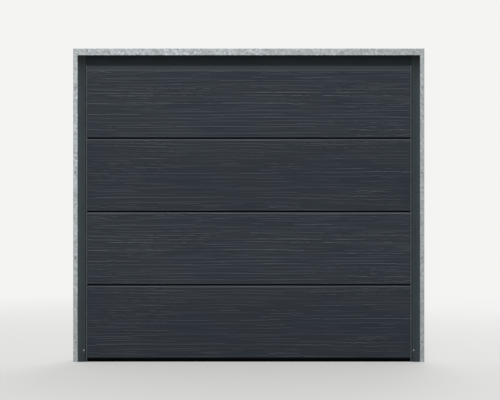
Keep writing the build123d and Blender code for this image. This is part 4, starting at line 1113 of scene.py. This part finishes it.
# %% Cable routes
EYE_RADIUS = 6.5 * MM
EYE_NECK = 6 * EYE_RADIUS
EYE_BELOW = 2 * MM
EYE_ANGLES = (80, -240)
EYE_CROSSING = -3 * MM
PULLEY_RIM = 4 * MM
DRUM_RIM = 5 * MM
DRUM_TURNS = 1.5
TURN_STEP = 5 * MM
QUARTER_STEPS = 12
pulley_low, pulley_high = solid_boxes("cable_pulleys")[0]
pulley_y, pulley_z = (pulley_low.y + pulley_high.y) / 2, (pulley_low.z + pulley_high.z) / 2
pulley_lay = (pulley_high.z - pulley_low.z) / 2 - PULLEY_RIM
drum_lay = max(high.z - low.z for low, high in solid_boxes("cable_drums")) / 2 - DRUM_RIM
rise_y = pulley_y - pulley_lay
eye_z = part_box("lift_cables")[0].z - EYE_BELOW


def arc(centre_y, centre_z, radius, start, end, x_start, x_step):
    """Points round a centre between two angles in degrees, moving sideways as they turn."""
    steps = max(2, round(abs(end - start) / 90 * QUARTER_STEPS))
    points = []
    for step in range(steps + 1):
        share = step / steps
        angle = math.radians(start + (end - start) * share)
        points.append((x_start + x_step * share, centre_y + radius * math.cos(angle),
                       centre_z + radius * math.sin(angle)))
    return points


def cable_route(x):
    """The cable's middle line: eye, rise, pulley, run and drum."""
    eye = arc(rise_y, eye_z, EYE_RADIUS, *EYE_ANGLES, x, EYE_CROSSING)
    over = arc(pulley_y, pulley_z, pulley_lay, 180, 90, x, 0)
    drum = arc(shaft_y, shaft_z, drum_lay, 90, 90 - 360 * DRUM_TURNS, x, TURN_STEP * DRUM_TURNS)
    return eye[::-1] + [(x, rise_y, eye_z + EYE_NECK)] + over + drum


print("pulley lays the cable at", round(pulley_lay, 4), "m, drum at", round(drum_lay, 4), "m")

# %% Cable tree
CABLE_STRANDS = 6
CABLE_RADIUS = 2.0 * MM
STRAND_VALLEY = 1.45 * MM
STRAND_LAY = 40 * MM
CABLE_STEP = 5 * MM
cable_tree, cable_in = new_tree("six_strand_cable", {
    "Radius": "NodeSocketFloat", "Valley": "NodeSocketFloat", "Lay": "NodeSocketFloat",
    "Step": "NodeSocketFloat", "Material": "NodeSocketMaterial"})
line = add(cable_tree, "GeometryNodeMeshToCurve", {"Mesh": cable_in.outputs[0]})
even = add(cable_tree, "GeometryNodeResampleCurve", {
    "Curve": line.outputs[0], "Length": cable_in.outputs["Step"]}, mode="LENGTH")
travelled = add(cable_tree, "GeometryNodeSplineParameter")
turns = add(cable_tree, "ShaderNodeMath", {
    0: travelled.outputs["Length"], 1: cable_in.outputs["Lay"]}, operation="DIVIDE")
tilt = add(cable_tree, "ShaderNodeMath", {0: turns.outputs[0], 1: math.tau},
           operation="MULTIPLY")
twisted = add(cable_tree, "GeometryNodeSetCurveTilt", {
    "Curve": even.outputs[0], "Tilt": tilt.outputs[0]})
strands = add(cable_tree, "GeometryNodeCurveStar", {
    "Points": CABLE_STRANDS, "Inner Radius": cable_in.outputs["Valley"],
    "Outer Radius": cable_in.outputs["Radius"]})
cable_skin = add(cable_tree, "GeometryNodeCurveToMesh", {
    "Curve": twisted.outputs[0], "Profile Curve": strands.outputs[0], "Fill Caps": True})
end_tree(cable_tree, cable_skin.outputs[0])

for side, (low, high) in zip(("left", "right"), solid_boxes("cable_pulleys")):
    route = cable_route((low.x + high.x) / 2)
    carrier = bpy.data.meshes.new("cable_carrier")
    carrier.from_pydata(route, [(i, i + 1) for i in range(len(route) - 1)], [])
    cable = run_tree(f"{side}_stranded_cable", cable_tree, carrier, {
        "Radius": CABLE_RADIUS, "Valley": STRAND_VALLEY, "Lay": STRAND_LAY, "Step": CABLE_STEP,
        "Material": MATERIALS["cable_steel"]})
    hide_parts("lift_cables")
